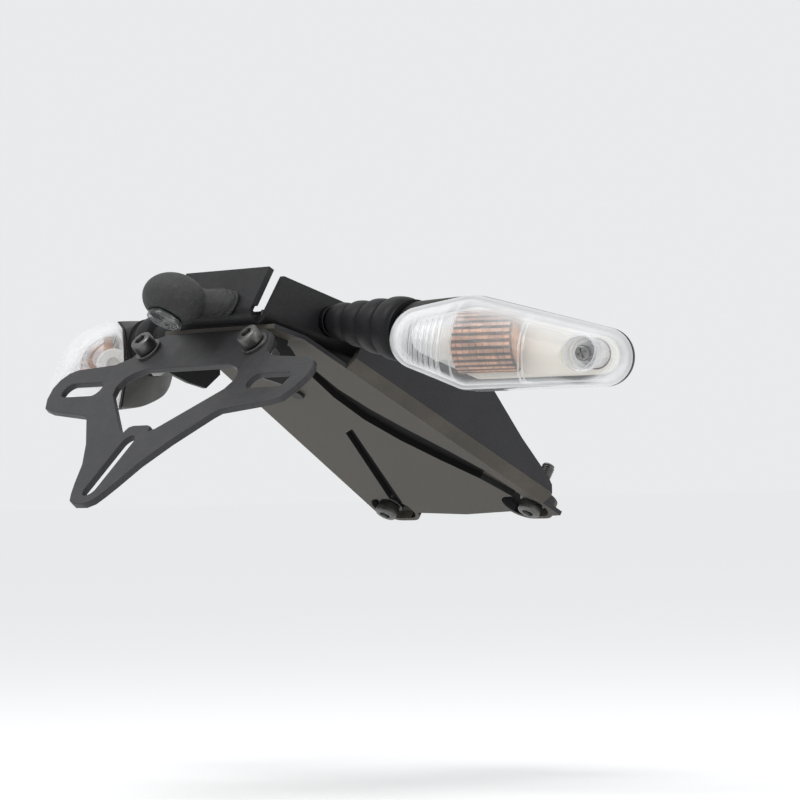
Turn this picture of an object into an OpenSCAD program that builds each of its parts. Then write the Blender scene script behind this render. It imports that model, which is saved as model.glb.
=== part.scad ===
// Tail tidy: number-plate bracket, undertray, indicators and plate lamp of a road motorbike.
// Origin: middle of the four tail holes, on the upper face of the pan. +X bike's right, +Y forward, +Z up.

/* [Pan] */
// Thickness of the pan's steel sheet
pan_sheet = 3; // [2:0.5:4]
// Width over the pan's side flanges
pan_w = 72; // [66:1:84]
// Length of the pan behind the origin
pan_back = 32; // [31:1:38]
// Length of the pan in front of the origin
pan_front = 30; // [28:1:40]
// Height of the side flanges at the back
pan_flange_h = 22.5; // [19:0.5:28]
// Slope of the pan, down towards the front
pan_tilt = 17; // [13:1:19]
// Forward lean of the rear flange
rear_lean = 14; // [6:1:18]
// Radius of the circle through the four tail holes
tail_circle_r = 18; // [16:0.5:19]
// Diameter of a tail hole
tail_hole_d = 6.5; // [5.5:0.5:7]

/* [Undertray] */
// Thickness of the undertray
tray_sheet = 2; // [1.5:0.5:3]
// Slope of the undertray, down towards the front
tray_tilt = 32.5; // [28:0.5:36]
// Length of the sloping panel
tray_len = 147; // [140:1:160]
// Width of the sloping panel at its top
tray_top_w = 80; // [76:1:84]
// Outward flare of each long edge
tray_flare = 9; // [7:0.5:11]
// Distance between the two front bolts
front_bolt_span = 102; // [96:1:104]

/* [Plate bracket] */
// Thickness of the plate bracket
plate_sheet = 3; // [2:0.5:4]
// Tilt of the plate bracket from the vertical
plate_tilt = 45.5; // [41:0.5:50]
// Width over the two arms
arms_w = 187; // [182:1:196]
// Height of the plate bracket
plate_h = 105; // [102:1:112]
// Width of a slot
slot_w = 8.5; // [6:0.5:9]
// Length of a side slot
side_slot_len = 29; // [24:1:32]
// Length of the bottom slot
low_slot_len = 36; // [30:1:38]
// Distance between the two plate screws
plate_screw_span = 78; // [74:1:80]

/* [Fasteners] */
// Thread diameter of the screws
screw_d = 6; // [5:0.5:6]
// Clearance of a screw in its hole, across the diameter
screw_fit = 0.5; // [0.2:0.1:1]

/* [Indicators] */
// Length of an indicator
pod_len = 105; // [98:1:115]
// Height of an indicator
pod_h = 41; // [38:1:44]
// Depth of the lens
lens_depth = 29; // [26:1:34]
// Depth of the housing behind the lens
housing_depth = 24; // [22:1:30]
// Wall of the lens and the housing
pod_wall = 2; // [1.5:0.5:2.5]
// Forward sweep of the indicators
pod_sweep = 30; // [26:1:34]
// Length of the rubber stalk
stalk_len = 54; // [50:1:62]
// Radius of the rubber stalk at the indicator
stalk_r = 14; // [12:0.5:15]
// Downward droop of the rubber stalk
stalk_droop = 7; // [4:1:9]
// Number of folds in the rubber stalk
stalk_folds = 4; // [3:1:6]
// Diameter of the threaded stem
stem_d = 8; // [7:0.5:9]

/* [Plate lamp] */
// Width of the lamp pod
lamp_w = 32; // [28:1:40]
// Depth of the lamp pod, front to back
lamp_d = 27; // [24:1:34]
// Height of the lamp pod
lamp_h = 22; // [19:1:26]
// Reach of the lamp pod's middle behind the rear flange
lamp_reach = 18.5; // [17:0.5:26]

/* [Hidden] */
$fn = 48;
eps = 0.01;

// Fits
seat_gap = 0.2;
bore_gap = 0.3;
fold_r = 2;

// Pan, in a frame whose top face is z = 0
pan_in = pan_w / 2 - pan_sheet;
rear_half = pan_w / 2 - pan_sheet - 2.6;
stalk_seat_y = 4.5;
stalk_seat_z = 8;
relief_r = 2.4;

// Tray screws through the hanger, the tray and the pan
tray_screw_x = 19;
tray_screw_y = -pan_back + 14;
hanger_sheet = 2.5;

// Sloping panel of the undertray: its under face starts here, in the row frame
tray_y0 = -11;
tray_z0 = tray_y0 * -tan(pan_tilt) - (pan_sheet + tray_sheet) / cos(pan_tilt);
wall_lean = atan(tan(tray_tilt) * sin(tray_flare));
chamfer_x = 4;
chamfer_z = 5;
front_bolt_y = tray_len - 8;
pocket_r = 8.5;
pocket_h = 4;
pocket_reach = 8;

// Plate bracket frame: x across, y up the sheet, z out of the visible face
plate_y0 = -34;
plate_z0 = -1;
plate_screw_y = -4;

// Screw sizes that follow the thread
head_r = screw_d * 0.85;
head_h = screw_d;
washer_r = screw_d * 1.05;
washer_h = 1.6;
nut_r = screw_d * 0.96;
nut_h = screw_d * 0.83;
hole_r = (screw_d + screw_fit) / 2;

// Indicators
stem_r = stem_d / 2;
collar_r = stem_r + 3;
collar_h = 3;
bellows_start = collar_h + 3;
bellows_r0 = 8.5;
stem_reach = 20;
gasket_h = 1.2;
pod_drop = 6.5;
screw_tower_x = pod_len * 0.345;
screw_tower_z = -pod_h * 0.15;
tower_r = 6.5;
tower_inner_r = 4;
lens_screw_r = 1.8;
rib_n = 9;

// Frames

module in_pan_frame() {
    rotate([-pan_tilt, 0, 0]) children();
}

module in_tray_frame() {
    translate([0, tray_y0, tray_z0]) rotate([-tray_tilt, 0, 0]) children();
}

// x across, y up the sheet, z out of the visible face, which looks back and up
module in_plate_frame() {
    translate([0, plate_y0, plate_z0]) rotate([90 - plate_tilt, 0, 0]) children();
}

// Extrudes a side view, given as y and z, across x
module across(x0, x1) {
    translate([x0, 0, 0]) rotate([90, 0, 90]) linear_extrude(height = x1 - x0) children();
}

module both_sides() {
    children();
    mirror([1, 0, 0]) children();
}

// Pan

module pan_section() {
    difference() {
        union() {
            translate([-pan_w / 2, fold_r]) square([pan_w, pan_flange_h * 2]);
            for (s = [-1, 1])
                translate([s * (pan_in - fold_r), fold_r]) circle(r = fold_r + pan_sheet);
            translate([-(pan_in - fold_r), -pan_sheet]) square([2 * (pan_in - fold_r), pan_sheet + fold_r]);
        }
        translate([-pan_in, fold_r]) square([2 * pan_in, pan_flange_h * 3]);
        translate([-(pan_in - fold_r), 0]) square([2 * (pan_in - fold_r), fold_r * 2]);
        for (s = [-1, 1]) translate([s * (pan_in - fold_r), fold_r]) circle(r = fold_r);
    }
}

module pan_side_view() {
    rise = pan_flange_h - pan_sheet;
    polygon([
        [-pan_back + fold_r, -pan_sheet * 2],
        [-pan_back + fold_r, fold_r],
        [-pan_back + fold_r + rise * tan(rear_lean), rise],
        [pan_front * 0.5, rise * 0.94],
        [pan_front, rise * 0.7],
        [pan_front, -pan_sheet * 2]]);
}

// Side view of the rear flange and the fold that joins it to the floor
module rear_fold() {
    outer_r = fold_r + pan_sheet;
    rise = (pan_flange_h - pan_sheet) / cos(rear_lean);
    translate([-pan_back + fold_r, fold_r]) difference() {
        union() {
            circle(r = outer_r + 0.02);
            translate([0, -outer_r]) square([fold_r * 3, outer_r]);
            rotate(-rear_lean) translate([-outer_r, 0]) square([outer_r, rise]);
        }
        circle(r = fold_r);
        translate([0, -fold_r]) square([fold_r * 4, fold_r]);
        rotate(-rear_lean) translate([-fold_r, 0]) square([30, 60]);
    }
}

module main_bracket() {
    color([0.13, 0.13, 0.14]) in_pan_frame() difference() {
        union() {
            intersection() {
                translate([0, pan_front, 0]) rotate([90, 0, 0])
                    linear_extrude(height = pan_front + pan_back) pan_section();
                across(-pan_w, pan_w) pan_side_view();
            }
            across(-rear_half, rear_half) rear_fold();
        }
        tail_holes(8);
        for (s = [-1, 1]) {
            translate([s * tray_screw_x, tray_screw_y, -8]) cylinder(r = hole_r, h = 16);
            translate([s * (pan_in + pan_sheet / 2), -pan_back - 0.5, fold_r])
                rotate([0, 90, 0]) cylinder(r = relief_r, h = pan_sheet * 4, center = true);
            translate([s * pan_w / 2, stalk_seat_y, stalk_seat_z]) rotate([0, 90, 0])
                cylinder(r = stem_r + bore_gap, h = pan_sheet * 4, center = true);
        }
        lamp_screw_holes();
    }
}

module tail_holes(h) {
    for (a = [0:90:270])
        rotate([0, 0, a]) translate([tail_circle_r, 0, -h]) cylinder(d = tail_hole_d, h = 2 * h);
}

// Undertray

function edge_x(t) = tray_top_w / 2 + t * tan(tray_flare);

module tray_outline() {
    inner = front_bolt_span / 2 - pocket_reach;
    union() {
        polygon([
            [-edge_x(0), 0], [edge_x(0), 0],
            [edge_x(tray_len), tray_len],
            [inner, tray_len + 1],
            [inner - 10, tray_len - 4],
            [0, tray_len - 2],
            [-inner + 10, tray_len - 4],
            [-inner, tray_len + 1],
            [-edge_x(tray_len), tray_len]]);
        both_sides() pocket_outline(tray_sheet);
    }
}

// Rounded pocket at a front corner that takes the bolt's head
module pocket_outline(grow) {
    for (x = [-pocket_reach, 0]) translate([front_bolt_span / 2 + x, front_bolt_y]) circle(r = pocket_r + grow);
    translate([front_bolt_span / 2 - pocket_reach, front_bolt_y - pocket_r - grow])
        square([pocket_reach, 2 * (pocket_r + grow)]);
}

// Long pressed channel, wide in the middle, that curves out to the right front bolt
module long_channel(grow) {
    mid = [[18, 24], [16, 42], [19, 60], [26, 77], [36, 95], [45.5, 112], [50.5, 128], [51, 135]];
    half = [3.5, 5, 6.5, 7, 6.5, 5, 3.5, 3];
    n = len(mid) - 1;
    right = [for (i = [0:n]) mid[i] + [half[i] + grow, -0.6 * (half[i] + grow) * min(i, 1)]];
    left = [for (i = [n:-1:0]) mid[i] - [half[i] + grow, -0.6 * (half[i] + grow) * min(i, 1)]];
    polygon(concat(right, left));
}

// Short pressed channel that runs to the left front bolt
module short_channel(grow) {
    polygon([[-4 + grow, 71 - grow], [-12 - grow, 74 - grow], [-42.5 - grow, 134], [-35 + grow, 134]]);
}

// Edge of the panel, chamfer and side wall, drawn square to the long edge
module tray_edge_section(wall) {
    lean_x = wall * sin(wall_lean);
    lean_z = wall * cos(wall_lean);
    across_wall = tray_sheet / cos(wall_lean);
    polygon([
        [-10, 0], [0, 0], [chamfer_x, chamfer_z], [chamfer_x + lean_x, chamfer_z + lean_z],
        [chamfer_x + lean_x - across_wall, chamfer_z + lean_z],
        [chamfer_x - across_wall, chamfer_z + tray_sheet * 0.4],
        [-tray_sheet * 0.5, tray_sheet], [-10, tray_sheet]]);
}

// Side view of the side wall, in the row frame
module wall_side_view() {
    polygon([
        [6, -50], [6, -20], [12, -8], [20, 4], [28, 9], [50, 4],
        [78, -24], [92, -46], [104.5, -63], [106.5, -67], [106.5, -72], [103, -77], [96, -100]]);
}

module undertray() {
    color([0.20, 0.19, 0.18]) difference() {
        union() {
            in_pan_frame() tray_top_flange();
            in_tray_frame() {
                linear_extrude(height = tray_sheet) tray_outline();
                linear_extrude(height = tray_sheet + 3) {
                    long_channel(tray_sheet);
                    short_channel(tray_sheet);
                }
                both_sides() linear_extrude(height = pocket_h + tray_sheet) pocket_outline(tray_sheet);
            }
            both_sides() intersection() {
                in_tray_frame() translate([edge_x(0), 0, 0]) rotate([0, 0, -tray_flare])
                    rotate([90, 0, 0]) mirror([0, 0, 1]) linear_extrude(height = tray_len * 1.3)
                        tray_edge_section(90);
                across(0, 120) wall_side_view();
            }
        }
        in_tray_frame() {
            translate([0, 0, -eps]) linear_extrude(height = 3) {
                long_channel(0);
                short_channel(0);
            }
            both_sides() translate([0, 0, -eps]) linear_extrude(height = pocket_h + eps) pocket_outline(0);
            for (s = [-1, 1]) translate([s * front_bolt_span / 2, front_bolt_y, -eps])
                cylinder(r = hole_r + 1.5 + bore_gap, h = 20);
            translate([rivet_x, rivet_y, -5]) cylinder(r = rivet_r, h = 12);
        }
    }
}

rivet_x = -10;
rivet_y = 40;
rivet_r = 2.2;

module tray_top_flange() {
    back = -pan_back + 4.5;
    front = tray_y0 / cos(pan_tilt) + 2.5;
    difference() {
        translate([-tray_top_w / 2, back, -pan_sheet - tray_sheet])
            cube([tray_top_w, front - back, tray_sheet]);
        for (s = [-1, 1]) translate([s * tray_screw_x, tray_screw_y, -20]) cylinder(r = hole_r, h = 40);
    }
}

// Hanger

hanger_half = 29;
hanger_top = -pan_sheet - tray_sheet;
hanger_inset = 5.5;
hanger_margin = 5;
hanger_face_low = 11;
hanger_face_h = 13;
hanger_mid_h = 17;
hanger_back = -pan_back + hanger_inset;
hanger_front = tray_y0 / cos(pan_tilt) + 1;
hanger_face_half = plate_screw_span / 2 + hanger_margin;

module plate_hanger() {
    color([0.16, 0.16, 0.17]) difference() {
        union() {
            in_pan_frame() translate([-hanger_half, hanger_back, hanger_top - hanger_sheet])
                cube([2 * hanger_half, hanger_front - hanger_back, hanger_sheet]);
            for (s = [-1, 1]) scale([s, 1, 1])
                across(hanger_half - hanger_sheet, hanger_half) hanger_ear();
            in_plate_frame() translate([0, 0, -plate_sheet - hanger_sheet]) linear_extrude(height = hanger_sheet) {
                translate([-hanger_face_half, -hanger_face_low]) square([2 * hanger_face_half, hanger_face_h]);
                translate([-hanger_half, -hanger_face_low]) square([2 * hanger_half, hanger_mid_h]);
            }
        }
        in_pan_frame() for (s = [-1, 1])
            translate([s * tray_screw_x, tray_screw_y, -20]) cylinder(r = hole_r, h = 40);
        in_plate_frame() plate_screw_holes();
    }
}

module hanger_ear() {
    polygon([[-28, -1.5], [-35, -8.5], [-37, -13], [-24.7, -18.2], [-15.4, -20.7], [-7.5, -14.7], [-7.5, -8.5], [-10.5, -4.6], [-14, -3], [-20, -1]]);
}

module plate_screw_holes() {
    for (s = [-1, 1]) translate([s * plate_screw_span / 2, plate_screw_y, -20]) cylinder(r = hole_r, h = 40);
}

// Plate bracket

// A closed outline from its right-hand half, given from top to bottom
function mirrored(half) = concat(half, [for (i = [len(half) - 1:-1:0]) [-half[i][0], half[i][1]]]);

module plate_outline() {
    arm = arms_w / 2;
    low = -plate_h + 6;
    neck = plate_screw_span / 2;
    polygon(mirrored([
        [36, 6], [neck + 4, 3.5], [neck + 7.5, -2], [neck + 10, -7.5], [58, -11.5], [arm - 9, -13.5],
        [arm - 4, -15.5], [arm - 0.8, -19.5], [arm, -25], [arm - 2.5, -32],
        [arm - 7, -38], [arm - 14, -40], [72, -41], [56, -43], [49.5, -44], [46, -46.5],
        [31, -62], [21, -75], [15, -87], [11.5, low + 6], [8.5, low + 2], [4, low]]));
}

module window_outline() {
    polygon(mirrored([
        [30, -15.5], [38, -18], [42, -21.5], [43, -26], [41, -31],
        [13, -54], [9, -55.5], [8, -52.5], [5, -51.6]]));
}

module slot(len) {
    square([len - slot_w, slot_w], center = true);
    for (s = [-1, 1]) translate([s * (len - slot_w) / 2, 0]) circle(d = slot_w);
}

side_slot_in = 25;
side_slot_low = 26.8;
low_slot_low = 76;

module plate_bracket() {
    color([0.30, 0.30, 0.31]) in_plate_frame() difference() {
        translate([0, 0, -plate_sheet]) linear_extrude(height = plate_sheet) difference() {
            plate_outline();
            window_outline();
            for (s = [-1, 1]) translate([s * (arms_w / 2 - side_slot_in), -side_slot_low]) slot(side_slot_len);
            translate([0, -low_slot_low]) rotate(90) slot(low_slot_len);
        }
        plate_screw_holes();
    }
}

// Fasteners

// Cap screw with its head above z = 0 and its shank below. A grip is the plain length under the head,
// as thin as the pitch circle of the rolled thread that follows it.
module cap_screw(len, grip = 0) {
    difference() {
        cylinder(r = head_r, h = head_h);
        translate([0, 0, head_h * 0.45]) cylinder(r = screw_d * 0.48, h = head_h, $fn = 6);
    }
    if (grip > 0) {
        translate([0, 0, -grip - eps]) cylinder(d = screw_d * 0.9, h = grip + 2 * eps);
        translate([0, 0, -len]) cylinder(d = screw_d, h = len - grip);
    } else {
        translate([0, 0, -len]) cylinder(d = screw_d, h = len + eps);
    }
}

module washer(r, bore, h) {
    difference() {
        cylinder(r = r, h = h);
        translate([0, 0, -1]) cylinder(r = bore, h = h + 2);
    }
}

module hex_nut(bore, r, h) {
    difference() {
        cylinder(r = r, h = h, $fn = 6);
        translate([0, 0, -1]) cylinder(r = bore, h = h + 2);
    }
}

module at_plate_screws(z) {
    in_plate_frame() for (s = [-1, 1]) translate([s * plate_screw_span / 2, plate_screw_y, z]) children();
}

module at_tray_screws(z) {
    in_pan_frame() for (s = [-1, 1]) translate([s * tray_screw_x, tray_screw_y, z]) children();
}

module at_front_bolts(z) {
    in_tray_frame() for (s = [-1, 1])
        translate([s * front_bolt_span / 2, front_bolt_y, z]) children();
}

plate_stack = plate_sheet + hanger_sheet;
tray_stack = pan_sheet + tray_sheet + hanger_sheet;

module plate_screws() {
    color([0.75, 0.75, 0.76]) at_plate_screws(washer_h) cap_screw(washer_h + plate_stack + nut_h + 2);
}

module plate_washers() {
    color([0.7, 0.7, 0.71]) at_plate_screws(0) washer(washer_r, screw_d / 2 + 0.05, washer_h);
}

module plate_nuts() {
    color([0.7, 0.7, 0.71]) at_plate_screws(-plate_stack - nut_h) hex_nut(screw_d / 2, nut_r, nut_h);
}

module tray_screws() {
    color([0.2, 0.2, 0.2]) at_tray_screws(-tray_stack - washer_h) mirror([0, 0, 1])
        cap_screw(tray_stack + washer_h + nut_h + 2);
}

module tray_washers() {
    color([0.6, 0.6, 0.6]) at_tray_screws(-tray_stack - washer_h) washer(washer_r, screw_d / 2 + 0.05, washer_h);
}

module tray_nuts() {
    color([0.6, 0.6, 0.6]) at_tray_screws(0) hex_nut(screw_d / 2, nut_r, nut_h);
}

tail_bolt_rise = 14;
collar_rise = tray_sheet + 2;
thread_run_out = 0.5;

module tail_bolts() {
    color([0.75, 0.75, 0.76]) at_front_bolts(pocket_h - washer_h) mirror([0, 0, 1])
        cap_screw(washer_h + collar_rise + tail_bolt_rise, washer_h + collar_rise + thread_run_out);
}

module tail_washers() {
    color([0.7, 0.7, 0.71]) at_front_bolts(pocket_h - washer_h) washer(washer_r, screw_d / 2 + 0.05, washer_h);
}

module tail_collars() {
    color([0.55, 0.55, 0.56]) at_front_bolts(pocket_h) washer(hole_r + 1.5, hole_r, collar_rise);
}

module tray_rivet() {
    color([0.05, 0.05, 0.05]) in_tray_frame() translate([rivet_x, rivet_y, 0]) {
        translate([0, 0, -1.5]) cylinder(r = rivet_r * 1.7, h = 1.5);
        translate([0, 0, -eps]) cylinder(r = rivet_r - 0.1, h = tray_sheet + 3);
    }
}

// Plate lamp, in a frame on the outer face of the rear flange: z out of the flange, y up it

module in_lamp_frame() {
    in_pan_frame() translate([0, -pan_back + fold_r, fold_r]) rotate([-rear_lean, 0, 0])
        translate([0, -fold_r - pan_sheet, 0]) rotate([90, 0, 0]) children();
}

lamp_seat_y = 1;
lamp_drop = 7;
lamp_screw_x = 10;
lamp_screw_y = 3.8;
lamp_arm_w = 40;
lamp_arm_h = 12;
lamp_y = lamp_seat_y - lamp_drop;

module lamp_screw_holes() {
    translate([0, -pan_back + fold_r, fold_r]) rotate([-rear_lean, 0, 0])
        translate([0, 0, lamp_screw_y]) rotate([90, 0, 0])
            for (s = [-1, 1]) translate([s * lamp_screw_x, 0, -5]) cylinder(r = 2.2, h = 20);
}

module lamp_body() {
    hull() {
        translate([0, lamp_seat_y, 0]) linear_extrude(height = 3) lamp_arm_section(1);
        translate([0, lamp_y + 1.5, lamp_reach - lamp_d * 0.25])
            linear_extrude(height = 1) lamp_arm_section(0.6);
    }
    translate([0, lamp_y, lamp_reach]) lamp_pod();
}

module lamp_arm_section(k) {
    hull() for (s = [-1, 1]) translate([s * (lamp_arm_w * k - lamp_arm_h) / 2, 0]) circle(d = lamp_arm_h, $fn = 24);
}

module lamp_pod() {
    resize([lamp_w, lamp_h, lamp_d]) sphere(r = lamp_w / 2, $fn = 40);
}

module lamp_housing() {
    color([0.22, 0.22, 0.22]) in_lamp_frame() difference() {
        lamp_body();
        translate([0, lamp_y - lamp_h / 2 - 2.5, lamp_reach]) rotate([90, 0, 0])
            cylinder(r = lamp_lens_r + seat_gap, h = 10, center = true);
        for (s = [-1, 1]) translate([s * lamp_screw_x, lamp_screw_y, -1]) cylinder(r = 1.8, h = 8);
    }
}

lamp_lens_r = 8;

module lamp_lens() {
    color([0.9, 0.92, 0.95, 0.5]) in_lamp_frame()
        translate([0, lamp_y - lamp_h / 2 + 2.5 - 2.5, lamp_reach]) rotate([90, 0, 0])
            cylinder(r = lamp_lens_r, h = 2, center = true);
}

module lamp_board() {
    color([0.1, 0.35, 0.15]) in_lamp_frame()
        translate([0, lamp_y - lamp_h / 2 + 2.5 - 0.8, lamp_reach]) rotate([90, 0, 0])
            cylinder(r = lamp_lens_r - 1, h = 1.2, center = true);
}

module lamp_screws() {
    color([0.6, 0.6, 0.6]) in_lamp_frame() for (s = [-1, 1])
        translate([s * lamp_screw_x, lamp_screw_y, 0]) {
            translate([0, 0, -pan_sheet - 2]) cylinder(r = 3, h = 2);
            translate([0, 0, -pan_sheet - eps]) cylinder(r = 1.75, h = pan_sheet + 6);
        }
}

// Indicators, drawn for the bike's right and mirrored for the left

module on_side(side) {
    if (side < 0) mirror([1, 0, 0]) children();
    if (side > 0) children();
}

// z out of the side flange
module in_stalk_frame() {
    in_pan_frame() translate([pan_w / 2, stalk_seat_y, stalk_seat_z]) rotate([0, 90, 0]) children();
}

module in_bellows_frame() {
    in_stalk_frame() translate([0, 0, bellows_start]) rotate([0, stalk_droop, 0]) children();
}

// Middle of the lens rim: x out along the indicator, y forward, z up
pod_in_x = -pod_len / 2 + 4;
pod_in_y = gasket_h + 13;
joint_x = pan_w / 2 + bellows_start + stalk_len * cos(stalk_droop);
joint_y = stalk_seat_y * cos(pan_tilt) + stalk_seat_z * sin(pan_tilt);
joint_z = stalk_seat_z * cos(pan_tilt) - stalk_seat_y * sin(pan_tilt) - stalk_len * sin(stalk_droop);
pod_x = joint_x - pod_in_x * cos(pod_sweep) + pod_in_y * sin(pod_sweep);
pod_y = joint_y - pod_in_x * sin(pod_sweep) - pod_in_y * cos(pod_sweep);
pod_z = joint_z - pod_drop;

module in_pod_frame() {
    translate([pod_x, pod_y, pod_z]) rotate([0, 0, pod_sweep]) children();
}

// Outline of an indicator, seen from behind: a rounded wedge that falls away outwards
module pod_outline(grow, $fn = 20) {
    l = pod_len / 2;
    h = pod_h / 2;
    hull() {
        translate([-l + 12.5, h * 0.2]) circle(r = 12.5 + grow);
        translate([-l * 0.34, h * 0.3]) circle(r = h * 0.7 + grow);
        translate([-l * 0.3, -h * 0.5]) circle(r = h * 0.5 + grow);
        translate([l - 12.5, -h * 0.37]) circle(r = 12.5 + grow);
    }
}

// One slice of the dome at a depth behind the rim, narrowed and lowered
module pod_slice(y, kx, kz, drop, grow) {
    translate([0, y, drop]) rotate([90, 0, 0]) linear_extrude(height = 0.8)
        scale([kx, kz]) pod_outline(grow);
}

module lens_solid(grow) {
    d = lens_depth + grow;
    hull() {
        pod_slice(0, 1, 1, 0, grow);
        pod_slice(-d * 0.3, 0.99, 0.97, -0.4, grow);
        pod_slice(-d * 0.6, 0.94, 0.86, -2.5, grow);
        pod_slice(-d * 0.84, 0.82, 0.65, -6, grow);
        pod_slice(-d + 0.8, 0.6, 0.36, -8.5, grow);
    }
}

module lens_ribs() {
    x0 = -pod_len / 2 + 3;
    pitch = pod_len * 0.022;
    for (i = [0:rib_n - 1]) translate([x0 + i * pitch, -lens_depth - 5, -pod_h])
        cube([pitch * 0.5, lens_depth + 4, pod_h * 2]);
}

module lens() {
    difference() {
        lens_solid(0);
        difference() {
            translate([0, eps, 0]) lens_solid(-pod_wall);
            difference() {
                lens_ribs();
                translate([0, 1, 0]) lens_solid(-pod_wall - 1);
            }
            in_tower() cylinder(r = tower_r, h = lens_depth * 2);
        }
        in_tower() translate([0, 0, lens_depth * 0.55]) cylinder(r = tower_r - 1.6, h = lens_depth);
        in_tower() translate([0, 0, -1]) cylinder(r = lens_screw_r + 0.2, h = lens_depth * 2);
    }
}

// Axis of the lens screw, z out of the rim towards the lens
module in_tower() {
    translate([screw_tower_x, 0, screw_tower_z]) rotate([90, 0, 0]) children();
}

module gasket() {
    translate([0, gasket_h, 0]) rotate([90, 0, 0]) linear_extrude(height = gasket_h) difference() {
        pod_outline(0);
        pod_outline(-pod_wall);
    }
}

module housing_solid(grow) {
    d = housing_depth + grow;
    hull() {
        pod_slice(gasket_h + 0.8, 1, 1, 0, grow);
        pod_slice(gasket_h + d * 0.5, 0.92, 0.93, 0, grow);
        pod_slice(gasket_h + d * 0.85, 0.82, 0.75, 0.5, grow);
        pod_slice(gasket_h + d, 0.7, 0.5, 0.5, grow);
        stalk_end() cylinder(r = stalk_r - 1 + grow, h = 2, $fn = 32);
    }
}

// The end of the rubber stalk, seen from the indicator's frame
module stalk_end() {
    translate([pod_in_x, pod_in_y, pod_drop]) rotate([0, 0, -pod_sweep]) rotate([0, 90 + stalk_droop, 0])
        children();
}

module housing() {
    difference() {
        housing_solid(0);
        difference() {
            translate([0, -eps, 0]) housing_solid(-pod_wall);
            in_tower() mirror([0, 0, 1]) cylinder(r = tower_inner_r, h = housing_depth * 2);
            stalk_end() translate([0, 0, -1]) cylinder(r = stalk_r, h = 4);
        }
        in_tower() mirror([0, 0, 1]) translate([0, 0, -1]) cylinder(r = lens_screw_r - 0.1, h = 14);
        stalk_end() translate([0, 0, -5]) cylinder(r = 4, h = 20);
    }
}

module lens_screw() {
    in_tower() {
        translate([0, 0, lens_depth * 0.55]) cylinder(r = 3.4, h = 2.4);
        translate([0, 0, -gasket_h - 10]) cylinder(r = lens_screw_r - 0.15, h = lens_depth * 0.55 + gasket_h + 10 + eps);
    }
}

bulb_r = 7;
bulb_x = -pod_len * 0.1;
bulb_y = -3.3;

// Bulb and holder lie along the indicator, with the holder at its inner end
module in_bulb_frame() {
    translate([bulb_x, bulb_y, 0]) rotate([0, -90, 0]) children();
}

module bulb() {
    in_bulb_frame() {
        translate([0, 0, -bulb_r]) sphere(r = bulb_r);
        translate([0, 0, -bulb_r]) cylinder(r = bulb_r, h = bulb_r + 4);
        translate([0, 0, 4 - eps]) cylinder(r1 = bulb_r, r2 = 5, h = 4);
    }
}

module bulb_holder() {
    in_bulb_frame() translate([0, 0, 8]) difference() {
        cylinder(r = bulb_r + 0.5, h = 16);
        translate([0, 0, 14]) cylinder(r = 3, h = 5);
    }
}

// Tray-shaped reflector, held on the housing's screw tower
module reflector() {
    difference() {
        translate([0, 5.4, 0]) rotate([90, 0, 0]) linear_extrude(height = 3.4) pod_outline(-pod_wall - 1.6);
        translate([0, 4.4, 0]) rotate([90, 0, 0]) linear_extrude(height = 6) pod_outline(-pod_wall - 3);
        in_bulb_frame() translate([0, 0, -20]) cylinder(r = bulb_r + 0.8, h = 60);
        in_tower() cylinder(r = tower_inner_r + 0.2, h = 30, center = true);
    }
}

module bellows_profile() {
    pitch = stalk_len / stalk_folds;
    function crest(i) = bellows_r0 + (stalk_r - bellows_r0) * i / (stalk_folds - 1);
    crests = [for (i = [0:stalk_folds - 1]) each [
        [crest(i) - 0.8, pitch * i],
        [crest(i), pitch * (i + 0.22)],
        [crest(i), pitch * (i + 0.5)],
        [crest(i) - 0.8, pitch * (i + 0.68)],
        [crest(i) - 2.2, pitch * (i + 0.78)],
        [crest(i) - 2.2, pitch * (i + 0.92)]]];
    polygon(concat([[0, 0]], crests, [[stalk_r - 0.5, stalk_len], [0, stalk_len]]));
}

module bellows() {
    difference() {
        in_bellows_frame() rotate_extrude() bellows_profile();
        in_stalk_frame() translate([0, 0, collar_h]) cylinder(r = stem_r, h = stem_reach - collar_h);
        in_bellows_frame() translate([0, 0, stem_reach - 4]) cylinder(r = 5, h = stalk_len);
    }
}

module stem() {
    in_stalk_frame() difference() {
        union() {
            translate([0, 0, -pan_sheet - 9]) cylinder(r = stem_r, h = pan_sheet + 9 + stem_reach);
            cylinder(r = collar_r, h = collar_h);
        }
        translate([0, 0, -40]) cylinder(r = stem_r - 2, h = 80);
    }
}

stem_washer_h = 1.5;
stem_washer_rim = 1.9;
stem_nut_h = 5;

module stem_washer() {
    in_stalk_frame() translate([0, 0, -pan_sheet - stem_washer_h])
        washer(stem_r + stem_washer_rim, stem_r + 0.1, stem_washer_h);
}

module stem_nut() {
    in_stalk_frame() translate([0, 0, -pan_sheet - stem_washer_h - stem_nut_h])
        hex_nut(stem_r, stem_r * 1.75, stem_nut_h);
}

module right_lens() color([0.95, 0.94, 0.92, 0.6]) on_side(1) in_pod_frame() lens();
module right_gasket() color([0.06, 0.06, 0.06]) on_side(1) in_pod_frame() gasket();
module right_housing() color([0.12, 0.12, 0.13]) on_side(1) in_pod_frame() housing();
module right_reflector() color([0.9, 0.88, 0.82]) on_side(1) in_pod_frame() reflector();
module right_bulb() color([0.95, 0.55, 0.2]) on_side(1) in_pod_frame() bulb();
module right_bulb_holder() color([0.1, 0.1, 0.1]) on_side(1) in_pod_frame() bulb_holder();
module right_bellows() color([0.15, 0.15, 0.16]) on_side(1) bellows();
module right_stem() color([0.5, 0.5, 0.5]) on_side(1) stem();
module right_stem_washer() color([0.6, 0.6, 0.6]) on_side(1) stem_washer();
module right_stem_nut() color([0.6, 0.6, 0.6]) on_side(1) stem_nut();
module right_lens_screw() color([0.6, 0.6, 0.6]) on_side(1) in_pod_frame() lens_screw();

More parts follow.
